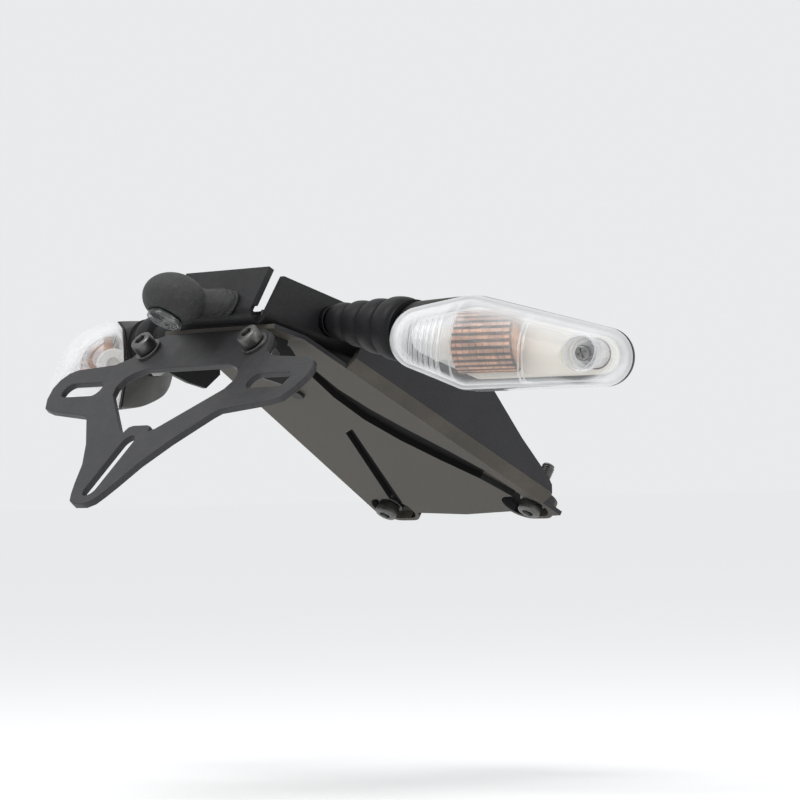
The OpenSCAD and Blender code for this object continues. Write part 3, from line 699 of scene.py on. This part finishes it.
@dataclass(frozen=True)
class CapScrew:
    """Socket cap screw: head above z = 0, threaded shank below."""

    length: float
    thread_r: float = 3.0
    thread_depth: float = 0.42
    pitch: float = 1.0
    head_r: float = 5.1
    head_h: float = 6.0
    rounding: float = 1.1
    socket: float = 2.6
    socket_depth: float = 3.0

    def add_head(self, bm: BMesh) -> None:
        """Adds the rounded head with its six-sided socket."""
        verts = Workshop.drum(bm, self.head_r, 0, self.head_h, self.rounding, 60)
        faces = {f for v in verts for f in v.link_faces}
        top = max(faces, key=lambda f: (f.calc_center_median().z, f.calc_area()))
        ledge = self.head_r - self.rounding - self.socket * 1.12
        bmesh.ops.inset_region(bm, faces=[top], thickness=ledge, depth=0)
        for v in top.verts:
            angle = math.degrees(math.atan2(v.co.y, v.co.x)) % 60 - 30
            reach = self.socket / math.cos(math.radians(angle))
            v.co.x, v.co.y = Vector((v.co.x, v.co.y)).normalized() * reach
        bmesh.ops.inset_region(bm, faces=[top], thickness=0.15, depth=-0.3)
        floor = bmesh.ops.extrude_discrete_faces(bm, faces=[top])["faces"][0]
        bmesh.ops.translate(bm, verts=floor.verts, vec=(0, 0, -self.socket_depth))

    def add_shank(self, bm: BMesh) -> None:
        """Adds the core and the helical thread."""
        core = self.thread_r - self.thread_depth
        Workshop.drum(bm, core, -self.length + 0.4, 0.3, 0.25, 32)
        turns = int((self.length - 1.6) / self.pitch)
        start = -self.length + 0.5
        ridge = ((core, 0.04), (self.thread_r, 0.44), (self.thread_r, 0.56), (core, 0.96))
        verts = [bm.verts.new((r, 0, start + z * self.pitch)) for r, z in ridge]
        edges = [bm.edges.new(pair) for pair in zip(verts, verts[1:] + verts[:1])]
        made = bmesh.ops.spin(bm, geom=verts + edges, cent=(0, 0, 0), axis=(0, 0, 1), angle=math.tau * turns,
                              steps=turns * THREAD_STEPS, dvec=(0, 0, self.pitch / THREAD_STEPS))
        for end in (edges, only(made["geom_last"], BMEdge)):
            bmesh.ops.edgeloop_fill(bm, edges=end)

    def mesh(self) -> BMesh:
        """The whole screw."""
        bm = bmesh.new()
        self.add_head(bm)
        self.add_shank(bm)
        bmesh.ops.recalc_face_normals(bm, faces=bm.faces)
        return bm


@dataclass
class Fasteners:
    """Screws, washers, nuts and the rivet of the bracket and the undertray."""

    plate_span: float = 78.0
    plate_y: float = -4.0
    tray_x: float = 19.0
    tray_y: float = -18.0
    front_span: float = 102.0
    front_y: float = 139.0
    front_seat: float = 2.4
    front_length: float = 19.6
    tray_seat: float = 9.1
    washer_h: float = 1.6
    nut_h: float = 4.98
    proud: float = 2.0

    @staticmethod
    def pair(name: str, length: float, place: Matrix, half: float, finish: Finish, slot: str,
             node: str) -> None:
        """Builds two like cap screws as one piece, as their node does.

        Args:
            name: the piece's name.
            length: the screws' length.
            place: frame of the pair's middle, at the heads' seat.
            half: half the distance between the screws.
            finish: their finish.
            slot: their slot.
            node: the node that they stand for.
        """
        both = bmesh.new()
        for x in (-half, half):
            one = CapScrew(length).mesh()
            one.transform(shift(x, 0, 0))
            Workshop.merge(both, one)
        Workshop.fit(Workshop.raise_piece(both, name, place, smooth=30.0), finish, slot, node)

    def build(self) -> None:
        """Builds every fastener."""
        steel, dark = "bright_steel", "dark_steel"
        stack = self.washer_h + self.nut_h + self.proud
        at_plate = PLATE @ shift(0, self.plate_y, self.washer_h)
        at_tray = PAN @ shift(0, self.tray_y, -self.tray_seat) @ FLIP
        at_front, half = TRAY @ shift(0, self.front_y, self.front_seat) @ FLIP, self.front_span / 2
        self.pair("plate_cap_screws", stack + 5.5, at_plate, self.plate_span / 2, DULL_STEEL, steel,
                  "plate_screws")
        self.pair("tray_cap_screws", stack + 7.5, at_tray, self.tray_x, OXIDE, dark, "tray_screws")
        self.pair("tail_cap_screws", self.front_length, at_front, half, DULL_STEEL, steel, "tail_bolts")
        plain = {"plate_washers": (DULL_STEEL, steel), "plate_nuts": (ZINC, steel),
                 "tray_washers": (OXIDE, dark), "tray_nuts": (ZINC, steel),
                 "tail_washers": (DULL_STEEL, steel), "tail_collars": (TURNED, "collar_metal"),
                 "tray_rivet": (BLACK_PLASTIC, "rivet_plastic"), "lamp_screws": (ZINC, steel)}
        for node, (finish, slot) in plain.items():
            Workshop.fit(Workshop.softened(node, f"{node}_rounded", 0.22), finish, slot, node)


# Sheet metal


@dataclass
class SheetWork:
    """Pan, undertray, hanger and plate bracket, with their cut and folded edges rounded."""

    tray_half: float = 40.0
    tray_flare: float = 9.0
    tray_len: float = 147.0
    channel_start: float = 16.0
    wall_foot: float = 8.0
    side_band: float = 5.5
    edge_band: float = 3.3

    def strip(self, y: float) -> float:
        """Half width of the tray's flat underside at a place along it."""
        return self.tray_half + self.tray_flare * min(1.0, max(0.0, y) / self.tray_len) - self.edge_band

    def build(self) -> None:
        """Builds the four sheet pieces."""
        for node, name, edge, segments, finish, slot in (
                ("main_bracket", "pan_folded", 0.45, 3, COAT_PAN, "pan_coat"),
                ("plate_hanger", "hanger_folded", 0.45, 2, COAT_HANGER, "hanger_coat"),
                ("plate_bracket", "plate_bracket_cut", 0.5, 3, COAT_PLATE, "bracket_coat")):
            Workshop.fit(Workshop.softened(node, name, edge, segments), finish, slot, node)
        self.tray()

    def tray(self) -> None:
        """Builds the undertray, with painted shade as a darker coat on its side walls and a near-black coat
        inside its pressed channels.
        """
        tray = Workshop.softened("undertray", "undertray_pressed", 0.55, 2)
        for finish in (COAT_TRAY, TRAY_SIDE_SHADE, CHANNEL_SHADE):
            tray.data.materials.append(finish.material())
        to_tray = (Matrix.Scale(MM, 4) @ TRAY).inverted()
        turned = TRAY.to_3x3().inverted()
        for face in tray.data.polygons:
            at, normal = to_tray @ face.center, turned @ face.normal
            outside = abs(at.x) > self.tray_half - self.side_band and abs(normal.x) > 0.9
            pressed = at.z > 0.25 and abs(at.x) < min(self.tray_half + 6, self.strip(at.y)) and normal.z < 0.9
            deep = pressed and at.y > self.channel_start
            # Side walls and faces above the walls' foot get the darker copy of the coat, channel insides the
            # near-black one: painted shade.
            face.material_index = 1 if outside or at.z > self.wall_foot else 2 if deep else 0
        Workshop.fit(tray, COAT_TRAY, "tray_coat", "undertray")


# Plate lamp


@dataclass
class PlateLamp:
    """Oval lamp pod on a flat neck, with its window on the under side."""

    width: float = 32.0
    depth: float = 27.0
    height: float = 22.0
    reach: float = 18.5
    seat_y: float = 1.0
    pod_y: float = -6.0
    arm_w: float = 40.0
    arm_h: float = 12.0
    window_r: float = 8.0

    def neck_section(self, bm: BMesh, scale: float, y: float, z: float) -> list[BMVert]:
        """Adds one rounded section of the neck."""
        half, r = (self.arm_w * scale - self.arm_h) / 2, self.arm_h / 2
        return [v for x in (-half, half)
                for v in bmesh.ops.create_circle(bm, segments=28, radius=r, matrix=shift(x, y, z))["verts"]]

    def build(self) -> None:
        """Builds the body, the window, the board and its lights."""
        bm = bmesh.new()
        neck = self.neck_section(bm, 0.98, self.seat_y, 0.1) + self.neck_section(bm, 0.96, self.seat_y, 3.0)
        neck += self.neck_section(bm, 0.66, self.pod_y + 2.5, self.reach - self.depth * 0.22)
        Workshop.hulled(bm, neck)
        egg = Matrix.Diagonal((*(size / 2 - 0.1 for size in (self.width, self.height, self.depth)), 1.0))
        bmesh.ops.create_uvsphere(bm, u_segments=48, v_segments=32, radius=1.0,
                                  matrix=shift(0, self.pod_y, self.reach) @ egg)
        body = Workshop.raise_piece(bm, "lamp_pod", LAMP)
        Workshop.fuse(body, 0.7)
        Workshop.cut(body, self.recess())
        Workshop.fit(body, LAMP_SKIN, "lamp_plastic", "lamp_housing")
        self.collar()
        self.window()

    def under(self, rise: float) -> Matrix:
        """Frame on the pod's under side, raised by a distance into the pod."""
        return LAMP @ shift(0, self.pod_y - self.height / 2 + rise, self.reach) @ turn("X", 90)

    def recess(self) -> Object:
        """Cutter for the window's recess."""
        bm = bmesh.new()
        Workshop.drum(bm, self.window_r + 0.2, -5, 5)
        return Workshop.raise_piece(bm, "recess", self.under(-2.5))

    def collar(self) -> None:
        """Ribs round the neck's root."""
        bm = bmesh.new()
        for k, z in enumerate((0.9, 3.0, 5.1)):
            ring = []
            for depth in (z - 0.55, z + 0.55):
                made = self.neck_section(bm, 1.0 - 0.062 * k, self.seat_y - 0.45 * k, depth)
                about = shift(0, 0.45 * k - self.seat_y, 0)
                bmesh.ops.scale(bm, vec=(1.0, 1.12, 1.0), verts=made, space=about)
                ring += made
            Workshop.hulled(bm, ring)
        Workshop.rounded(bm, (e for e in bm.edges if e.calc_face_angle(0) > 0.9), 0.3)
        Workshop.fit(Workshop.raise_piece(bm, "lamp_neck_ribs", LAMP), LAMP_SKIN, "lamp_plastic")

    def window(self) -> None:
        """Clear window with a fine ribbed face, and the board behind it."""
        profile = [(0.0, -1.0), (7.7, -1.0), (7.95, -0.75), (7.95, 0.6), (7.6, 0.95)]
        profile += [(7.2 - 0.6 * i, 0.95 + 0.12 * (i % 2)) for i in range(12)] + [(0.0, 1.0)]
        bm = Workshop.lathe(profile, 64)
        bmesh.ops.scale(bm, vec=(1, 1, 0.94), verts=bm.verts)
        pane = Workshop.raise_piece(bm, "lamp_window", self.under(0), smooth=20.0)
        Workshop.fit(pane, LAMP_GLASS, "lamp_clear", "lamp_lens")
        Workshop.fit(Workshop.softened("lamp_board", "lamp_board_trimmed", 0.1), BOARD, "board", "lamp_board")
        lights = bmesh.new()
        for x, z in ((-3, -2), (3, -2), (0, 3)):
            tile = shift(x, z, 0) @ Matrix.Diagonal((2.2, 2.2, 0.09, 1))
            verts = bmesh.ops.create_cube(lights, size=1.0, matrix=tile)["verts"]
            Workshop.rounded(lights, {e for v in verts for e in v.link_edges}, 0.03, 1)
        Workshop.fit(Workshop.raise_piece(lights, "lamp_lights", self.under(1.05)), LED, "board")


# Indicators


@dataclass
class Indicator:
    """Clear indicator on a ringed rubber stalk. Drawn for the bike's right and mirrored for the left."""

    side: Side
    length: float = 105.0
    height: float = 41.0
    lens_depth: float = 29.0
    housing_depth: float = 24.0
    wall: float = 1.6
    sweep: float = 30.0
    stalk_len: float = 54.0
    stalk_r: float = 14.0
    stalk_folds: int = 4
    gasket: float = 1.2
    drop: float = 6.5
    corner: float = 12.5
    joint_in: float = 4.0
    joint_back: float = 13.0
    well_r: float = 6.9
    hole_r: float = 6.6
    bulb_r: float = 7.0
    silver_from: float = -22.0
    flute_back: float = -9.0
    flute_pitch: float = 2.6

    def __post_init__(self) -> None:
        """Works out the pod's frame from the stalk's end."""
        pan, droop, sweep = (math.radians(a) for a in (PAN_TILT, DROOP, self.sweep))
        in_x, in_y = -self.length / 2 + self.joint_in, self.gasket + self.joint_back
        x = STALK_SEAT.x + COLLAR_AND_SEAT + self.stalk_len * math.cos(droop)
        y = STALK_SEAT.y * math.cos(pan) + STALK_SEAT.z * math.sin(pan)
        z = STALK_SEAT.z * math.cos(pan) - STALK_SEAT.y * math.sin(pan) - self.stalk_len * math.sin(droop)
        self.joint = Vector((in_x, in_y, self.drop))
        pod = shift(x - in_x * math.cos(sweep) + in_y * math.sin(sweep),
                    y - in_x * math.sin(sweep) - in_y * math.cos(sweep), z - self.drop)
        self.place = pod @ turn("Z", self.sweep)
        self.tower = shift(self.length * 0.345, 0, -self.height * 0.15) @ turn("X", 90)

    # forms

    def outline(self, bm: BMesh, y: float = 0.0, grow: float = 0.0) -> list[BMEdge]:
        """Adds the rim's outline as a loop of edges.

        Args:
            bm: the mesh to add to.
            y: where the loop lies, behind the rim.
            grow: how far outside the rim it runs.

        Returns:
            The loop's edges.
        """
        l, h, c = self.length / 2, self.height / 2, self.corner
        work = bmesh.new()
        for x, z, r in ((-l + c, h * 0.2, c), (-l * 0.34, h * 0.3, h * 0.7), (-l * 0.3, -h * 0.5, h * 0.5),
                        (l - c, -h * 0.37, c)):
            bmesh.ops.create_cone(work, cap_ends=False, segments=80, radius1=r + grow, radius2=r + grow,
                                  depth=2.0, matrix=shift(x, 0, z) @ turn("X", 90))
        Workshop.hulled(work, work.verts)
        flat = sliced(work, (0, 0, 0), (0, 1, 0), clear_inner=True)
        bmesh.ops.remove_doubles(work, verts=only(flat, BMVert), dist=0.02)
        bmesh.ops.dissolve_limit(work, angle_limit=0.002, verts=work.verts, edges=work.edges)
        for edge in [e for e in work.edges if e.calc_length() > 6]:
            bmesh.ops.subdivide_edges(work, edges=[edge], cuts=int(edge.calc_length() / 3))
        bmesh.ops.translate(work, verts=work.verts, vec=(0, y, 0))
        known = set(bm.edges)
        Workshop.merge(bm, work)
        return [e for e in bm.edges if e not in known]

    def lens_rows(self) -> list[tuple[float, ...]]:
        """Depth, width scale, height scale and drop of the lens, from rim to front."""
        d = self.lens_depth
        return through([(0, 1, 1, 0), (d * 0.3, 0.987, 0.968, -0.4), (d * 0.6, 0.935, 0.858, -2.5),
                        (d * 0.82, 0.825, 0.67, -5.6), (d * 0.955, 0.62, 0.4, -8.1),
                        (d * 0.985, 0.36, 0.2, -8.6)], 4)

    def housing_rows(self) -> list[tuple[float, ...]]:
        """Depth, width scale, height scale and drop of the housing, from rim to back."""
        d = self.housing_depth
        return through([(0, 1, 1, 0), (d * 0.25, 0.975, 0.985, 0), (d * 0.5, 0.915, 0.925, 0),
                        (d * 0.85, 0.815, 0.745, 0.5), (d, 0.69, 0.49, 0.5)], 3)

    def swept(self, rows: Sequence[Sequence[float]], start: float = 0.0, grow: float = 0.0) -> BMesh:
        """Extrudes the rim's outline forwards through rows of depth and scale, and closes the end.

        Args:
            rows: depth, width scale, height scale and drop.
            start: where the rim lies.
            grow: how far outside the rim it runs.

        Returns:
            The skin, as a new mesh.
        """
        bm = bmesh.new()
        loop = self.outline(bm, start, grow)
        bmesh.ops.scale(bm, vec=(0.998, 1, 0.998), verts=list({v for e in loop for v in e.verts}))
        last = rows[0]
        for row in rows[1:]:
            made = bmesh.ops.extrude_edge_only(bm, edges=loop)["geom"]
            verts, loop = only(made, BMVert), only(made, BMEdge)
            size, about = (row[1] / last[1], 1, row[2] / last[2]), shift(0, 0, -last[3])
            bmesh.ops.scale(bm, vec=size, verts=verts, space=about)
            bmesh.ops.translate(bm, verts=verts, vec=(0, last[0] - row[0], row[3] - last[3]))
            last = row
        bmesh.ops.edgeloop_fill(bm, edges=loop)
        bmesh.ops.recalc_face_normals(bm, faces=bm.faces)
        return bm

    def name(self, part: str) -> str:
        """Name of a piece on this side."""
        return f"{self.side.word}_{part}"

    def raised(self, bm: BMesh, part: str, place: Matrix | None = None, smooth: float = 38.0) -> Object:
        """Raises a mesh on this side, in the pod's frame if no other is given."""
        return Workshop.raise_piece(bm, self.name(part), place or self.place, self.side, smooth)

    def add(self, bm: BMesh, part: str, finish: Finish, slot: str, node: str = "",
            place: Matrix | None = None, smooth: float = 38.0) -> Object:
        """Raises and fits a piece of this indicator.

        Args:
            bm: its mesh.
            part: its name without the side.
            finish: its finish.
            slot: its slot.
            node: name without the side of the node that it stands for.
            place: its frame, if not the pod's.
            smooth: edges sharper than this many degrees stay sharp.

        Returns:
            The piece.
        """
        nodes = [self.name(node)] if node else []
        return Workshop.fit(self.raised(bm, part, place, smooth), finish, slot, *nodes)

    # pieces

    def lens(self) -> None:
        """Clear dome with its screw well."""
        bm = self.swept(self.lens_rows())
        Workshop.walled(bm, self.wall)
        dome = self.raised(bm, "lens_dome", smooth=30.0)
        well = bmesh.new()
        Workshop.drum(well, self.well_r, 4, 40, 0, 64)
        in_tower = self.place @ self.tower
        Workshop.cut(dome, self.raised(well, "well", in_tower))
        Workshop.fit(dome, LENS, "lens_clear", self.name("lens"))
        cup = [(2.1, 14.6), (5.6, 14.6), (6.5, 15.4), (6.8, 17.0), (7.0, 19.6), (7.6, 20.0), (7.9, 19.4),
               (7.7, 16.0), (7.2, 13.4), (6.0, 12.6), (2.1, 12.6), (2.1, 14.6)]
        self.add(Workshop.lathe(cup, 56), "screw_well", FLUTE, "lens_clear", place=in_tower)
        post = [(4.4, 0.2), (6.1, 0.2), (6.4, 12.5), (4.4, 12.5), (4.4, 0.2)]
        self.add(Workshop.lathe(post, 48), "screw_post", LENS, "lens_clear", place=in_tower)

    def flutes(self) -> None:
        """Upright flutes inside the lens's inner end."""
        first, pitch = -self.length / 2 + 3.4, self.flute_pitch
        ribs = [(first + pitch * i, pitch * 0.56) for i in range(10)]
        ribs += [(-19.5, 0.55), (10.6, 0.6), (12.4, 0.5)]
        whole = bmesh.new()
        for x, width in ribs:
            bm = self.swept(self.lens_rows())
            bmesh.ops.scale(bm, vec=(0.955, 0.93, 0.925), verts=bm.verts, space=shift(0, 0, 0.4))
            for at, way in (((x, 0, 0), (-1, 0, 0)), ((x + width, 0, 0), (1, 0, 0)),
                            ((0, self.flute_back, 0), (0, 1, 0))):
                sliced(bm, at, way)
            if not bm.faces:
                bm.free()
                continue
            Workshop.walled(bm, 0.9)
            edges = [e for e in bm.edges if len(e.link_faces) == 2 and e.calc_face_angle() > 0.9]
            Workshop.rounded(bm, edges, 0.32)
            Workshop.merge(whole, bm)
        self.add(whole, "lens_flutes", FLUTE, "lens_clear", smooth=50.0)

    def rim(self) -> None:
        """Rubber seal between lens and housing."""
        bm = bmesh.new()
        outer = self.outline(bm, self.gasket * 0.5)
        bmesh.ops.scale(bm, vec=(0.994, 1, 0.99), verts=list({v for e in outer for v in e.verts}))
        made = bmesh.ops.extrude_edge_only(bm, edges=outer)["geom"]
        bmesh.ops.scale(bm, vec=(0.965, 1, 0.91), verts=only(made, BMVert))
        bmesh.ops.solidify(bm, geom=bm.faces[:], thickness=self.gasket)
        middle = sum(v.co.y for v in bm.verts) / len(bm.verts)
        bmesh.ops.translate(bm, verts=bm.verts, vec=(0, self.gasket / 2 - middle, 0))
        bmesh.ops.recalc_face_normals(bm, faces=bm.faces)
        self.add(bm, "rim_seal", SEAL, "seal_rubber", "gasket")

    def housing(self) -> None:
        """Back shell that runs into the stalk's socket."""
        bm = bmesh.new()
        for depth, wide, high, drop in self.housing_rows():
            verts = list({v for e in self.outline(bm) for v in e.verts})
            bmesh.ops.scale(bm, vec=(wide * 0.998, 1, high * 0.998), verts=verts)
            bmesh.ops.translate(bm, verts=verts, vec=(0, self.gasket + depth, drop))
        socket = Matrix.Translation(self.joint) @ turn("Z", -self.sweep) @ turn("Y", 90 + DROOP)
        for z, inset in ((0.05, 1.4), (0.7, 1.0), (2.0, 1.0)):
            ring = socket @ shift(0, 0, z)
            bmesh.ops.create_circle(bm, segments=64, radius=self.stalk_r - inset, matrix=ring)
        Workshop.hulled(bm, bm.verts)
        shell = self.raised(bm, "housing_shell", smooth=60.0)
        Workshop.fuse(shell, 0.8)
        Workshop.fit(shell, HOUSING_SKIN, "housing_plastic", self.name("housing"))

    def reflector(self) -> None:
        """Cream tray behind the lens, silvered at its inner end, with a hole for the screw's tower."""
        rows = [(0, 1, 1, 0), (0.8, 0.985, 0.96, 0), (2.2, 0.94, 0.88, 0), (2.7, 0.9, 0.8, 0),
                (2.9, 0.5, 0.4, 0)]
        bm = self.swept(through(rows, 3), 3.2, -3.4)
        Workshop.walled(bm, 0.8)
        tray = self.raised(bm, "reflector_tray")
        hole = bmesh.new()
        Workshop.drum(hole, self.hole_r, -20, 20)
        Workshop.cut(tray, self.raised(hole, "hole", self.place @ self.tower))
        for finish in (CREAM, SILVER):
            tray.data.materials.append(finish.material())
        to_pod = (Matrix.Scale(MM, 4) @ self.side.mirror @ self.place).inverted()
        for face in tray.data.polygons:
            face.material_index = 1 if (to_pod @ face.center).x < self.silver_from else 0
        Workshop.fit(tray, CREAM, "reflector_cream", self.name("reflector"))

    def bulb(self) -> None:
        """Amber bulb in its holder."""
        r = self.bulb_r
        place = self.place @ shift(-self.length * 0.1, -3.3, 0) @ turn("Y", -90)
        arc = [(r * math.sin(a), -r - r * math.cos(a)) for a in (math.radians(9 * k) for k in range(1, 11))]
        glass = [(0.0, -2 * r)] + arc + [(r, 3.0), (6.6, 5.0), (5.2, 7.6), (0.0, 7.8)]
        self.add(Workshop.lathe(glass, 48), "bulb_glass", BULB_AMBER, "bulb_amber", "bulb", place)
        socket = [(0.0, 8.0), (6.6, 8.0), (7.3, 8.6), (7.3, 12.0), (6.9, 12.4), (6.9, 14.0), (7.3, 14.4),
                  (7.3, 22.8), (6.6, 23.8), (3.2, 23.9), (3.0, 21.8), (0.0, 21.8)]
        self.add(Workshop.lathe(socket, 48), "bulb_socket", NYLON, "holder_plastic", "bulb_holder", place)

    def cover(self) -> None:
        """Ribbed half-round cover over the bulb, with painted shade in its grooves and its ends closed."""
        ribs, width, arc, wall = 9, 27.0, 56, 0.8
        step = width / ribs
        rib = ((11.5, 0.0), (11.5, 0.26), (12.4, 0.36), (12.4, 0.9))
        bm = bmesh.new()
        verts = [bm.verts.new((r, 0, -width / 2 + step * (i + z))) for i in range(ribs) for r, z in rib]
        edges = [bm.edges.new(pair) for pair in zip(verts, verts[1:])]
        bmesh.ops.spin(bm, geom=verts + edges, cent=(0, 0, 0), axis=(0, 0, 1), angle=math.pi, steps=arc)
        for v in bm.verts:
            if round(math.atan2(v.co.y, v.co.x) / math.pi * arc) % 4 == 0:
                v.co.x, v.co.y = v.co.x * 0.93, v.co.y * 0.93
        # Faces in the grooves take the dark amber: painted shade.
        for face in bm.faces:
            face.material_index = 1 if face.calc_center_median().xy.length < 12.05 else 0
        Workshop.walled(bm, wall)
        for z in (-width / 2, width / 2 - wall):
            known = set(bm.verts)
            Workshop.drum(bm, 12.0, z, z + wall, 0.15, 64)
            disc = [v for v in bm.verts if v not in known]
            edges, faces = {e for v in disc for e in v.link_edges}, {f for v in disc for f in v.link_faces}
            cut = sliced(bm, (0, 0, 0), (0, -1, 0), geom=[*disc, *edges, *faces])
            bmesh.ops.edgeloop_fill(bm, edges=only(cut, BMEdge))
        bmesh.ops.rotate(bm, verts=bm.verts, cent=(0, 0, 0), matrix=Matrix.Rotation(math.radians(90), 3, "Z"))
        place = self.place @ shift(-9.5, -2.4, 0.4) @ turn("Y", -90) @ turn("Z", 90)
        cover = self.add(bm, "bulb_cover", AMBER, "bulb_amber", place=place, smooth=25.0)
        cover.data.materials.append(AMBER_GROOVE_SHADE.material())

    def stalk(self) -> None:
        """Ringed rubber stalk."""
        pitch, root = self.stalk_len / self.stalk_folds, 8.5
        fold = ((0.7, 0.03), (0.0, 0.2), (0.0, 0.5), (0.8, 0.66), (2.3, 0.78), (2.3, 0.92))
        middle: list[tuple[float, float]] = [(7.4, 0.0)]
        for i in range(self.stalk_folds):
            crest = root + (self.stalk_r - root) * i / (self.stalk_folds - 1) - 0.1
            middle += [(crest - inset, pitch * (i + z)) for inset, z in fold]
        middle.append((self.stalk_r - 0.7, self.stalk_len - 0.1))
        rows = [(0.0, 0.0)] + through(middle, 4) + [(0.0, self.stalk_len - 0.1)]
        bm = Workshop.lathe([(max(0.0, r), min(max(z, 0.0), self.stalk_len)) for r, z in rows], 80)
        self.add(bm, "stalk_rings", RUBBER, "stalk_rubber", "bellows", BELLOWS, 50.0)

    def small_metal(self) -> None:
        """Stem, its washer and nut, and the lens screw."""
        for part in ("stem", "stem_washer", "stem_nut"):
            piece = Workshop.softened(self.name(part), self.name(f"{part}_rounded"), 0.25)
            Workshop.fit(piece, OXIDE, "stem_steel", self.name(part))
        in_tower = self.place @ self.tower
        profile = [(0.0, -11.1), (1.4, -11.1), (1.6, -10.9), (1.6, 15.95), (2.9, 15.95), (3.3, 16.3),
                   (3.3, 17.4), (3.0, 18.0), (2.4, 18.3), (0.0, 18.3)]
        screw = self.raised(Workshop.lathe(profile, 40), "lens_cross_screw", in_tower)
        for angle in (20, 110):
            slot = bmesh.new()
            bar = Matrix.Diagonal((4.2, 0.9, 1.8, 1))
            bmesh.ops.create_cube(slot, size=1.0, matrix=turn("Z", angle) @ shift(0, 0, 18.4) @ bar)
            Workshop.cut(screw, self.raised(slot, "slot", in_tower))
        Workshop.fit(screw, ZINC, "bright_steel", self.name("lens_screw"))

    def build(self) -> None:
        """Builds every piece of the indicator."""
        for step in (self.stalk, self.housing, self.rim, self.reflector, self.bulb, self.cover, self.flutes,
                     self.lens, self.small_metal):
            step()


# Studio


@dataclass
class Studio:
    """Camera at the photograph's viewing angle, soft lights and a pale floor."""

    camera_at: tuple[float, float, float] = (1.584, -1.209, -0.066)
    azimuth: float = 51.0
    elevation: float = -1.09
    roll: float = -1.34
    lens: float = 202.9
    floor_z: float = -0.2

    def basis(self) -> tuple[Vector, Vector, Vector]:
        """The camera's right, up and back directions."""
        a, e, r = (math.radians(v) for v in (self.azimuth, self.elevation, self.roll))
        right = Vector((math.cos(a), math.sin(a), 0))
        up = Vector((-math.sin(a) * math.sin(e), math.cos(a) * math.sin(e), math.cos(e)))
        back = Vector((math.sin(a) * math.cos(e), -math.cos(a) * math.cos(e), math.sin(e)))
        return right * math.cos(r) + up * math.sin(r), up * math.cos(r) - right * math.sin(r), back

    def camera(self) -> None:
        """Sets the camera."""
        data = bpy.data.cameras.new("photo_camera")
        data.lens, data.sensor_width, data.sensor_fit = self.lens, 36.0, "HORIZONTAL"
        data.clip_start, data.clip_end = 0.05, 80.0
        camera = bpy.data.objects.new("photo_camera", data)
        bpy.context.scene.collection.objects.link(camera)
        right, up, back = self.basis()
        matrix = Matrix((right, up, back)).transposed().to_4x4()
        matrix.translation = self.camera_at
        camera.matrix_world = matrix
        bpy.context.scene.camera = camera

    def light(self, name: str, at: tuple[float, float, float], size: float, power: float,
              colour: Colour = (1, 1, 1)) -> None:
        """Adds a soft light at a place in the camera's directions, looking at the object.

        Args:
            name: the light's name.
            at: right, up and back from the object, in metres.
            size: side of the square light.
            power: watts.
            colour: its tint.
        """
        data = bpy.data.lights.new(name, "AREA")
        data.shape, data.size, data.energy, data.color = "SQUARE", size, power, colour
        light = bpy.data.objects.new(name, data)
        bpy.context.scene.collection.objects.link(light)
        place = sum((way * far for way, far in zip(self.basis(), at)), Vector())
        light.matrix_world = Matrix.Translation(place) @ place.to_track_quat("Z", "Y").to_matrix().to_4x4()

    def floor(self) -> None:
        """Adds the pale floor."""
        bm = bmesh.new()
        bmesh.ops.create_grid(bm, x_segments=1, y_segments=1, size=30.0, matrix=shift(0, 0, self.floor_z))
        floor = Workshop.settle(bm, "studio_floor")
        floor.data.materials.append(Finish("floor_paint", (0.985, 0.985, 0.985), 1.0).material())

    def build(self) -> None:
        """Sets up the whole studio."""
        self.camera()
        self.floor()
        bpy.context.scene.view_settings.view_transform = "Standard"
        world = bpy.data.worlds.new("studio_air")
        world.use_nodes = True
        air = world.node_tree.nodes["Background"].inputs
        air["Color"].default_value, air["Strength"].default_value = (0.93, 0.94, 0.95, 1.0), 0.88
        bpy.context.scene.world = world
        self.light("key", (-0.5, 1.0, 0.4), 0.7, 6.5)
        self.light("side", (1.1, 0.4, 0.45), 0.5, 2.6, (1.0, 0.99, 0.97))


def main() -> None:
    """Builds the studio and every sub-assembly in order."""
    logging.basicConfig(level=logging.INFO, format="%(name)s %(message)s")
    parts = (Studio(), SheetWork(), Fasteners(), PlateLamp(), Indicator(Side.RIGHT), Indicator(Side.LEFT))
    for part in parts:
        part.build()
        LOG.info("%s done", type(part).__name__)


if __name__ == "__main__":
    main()
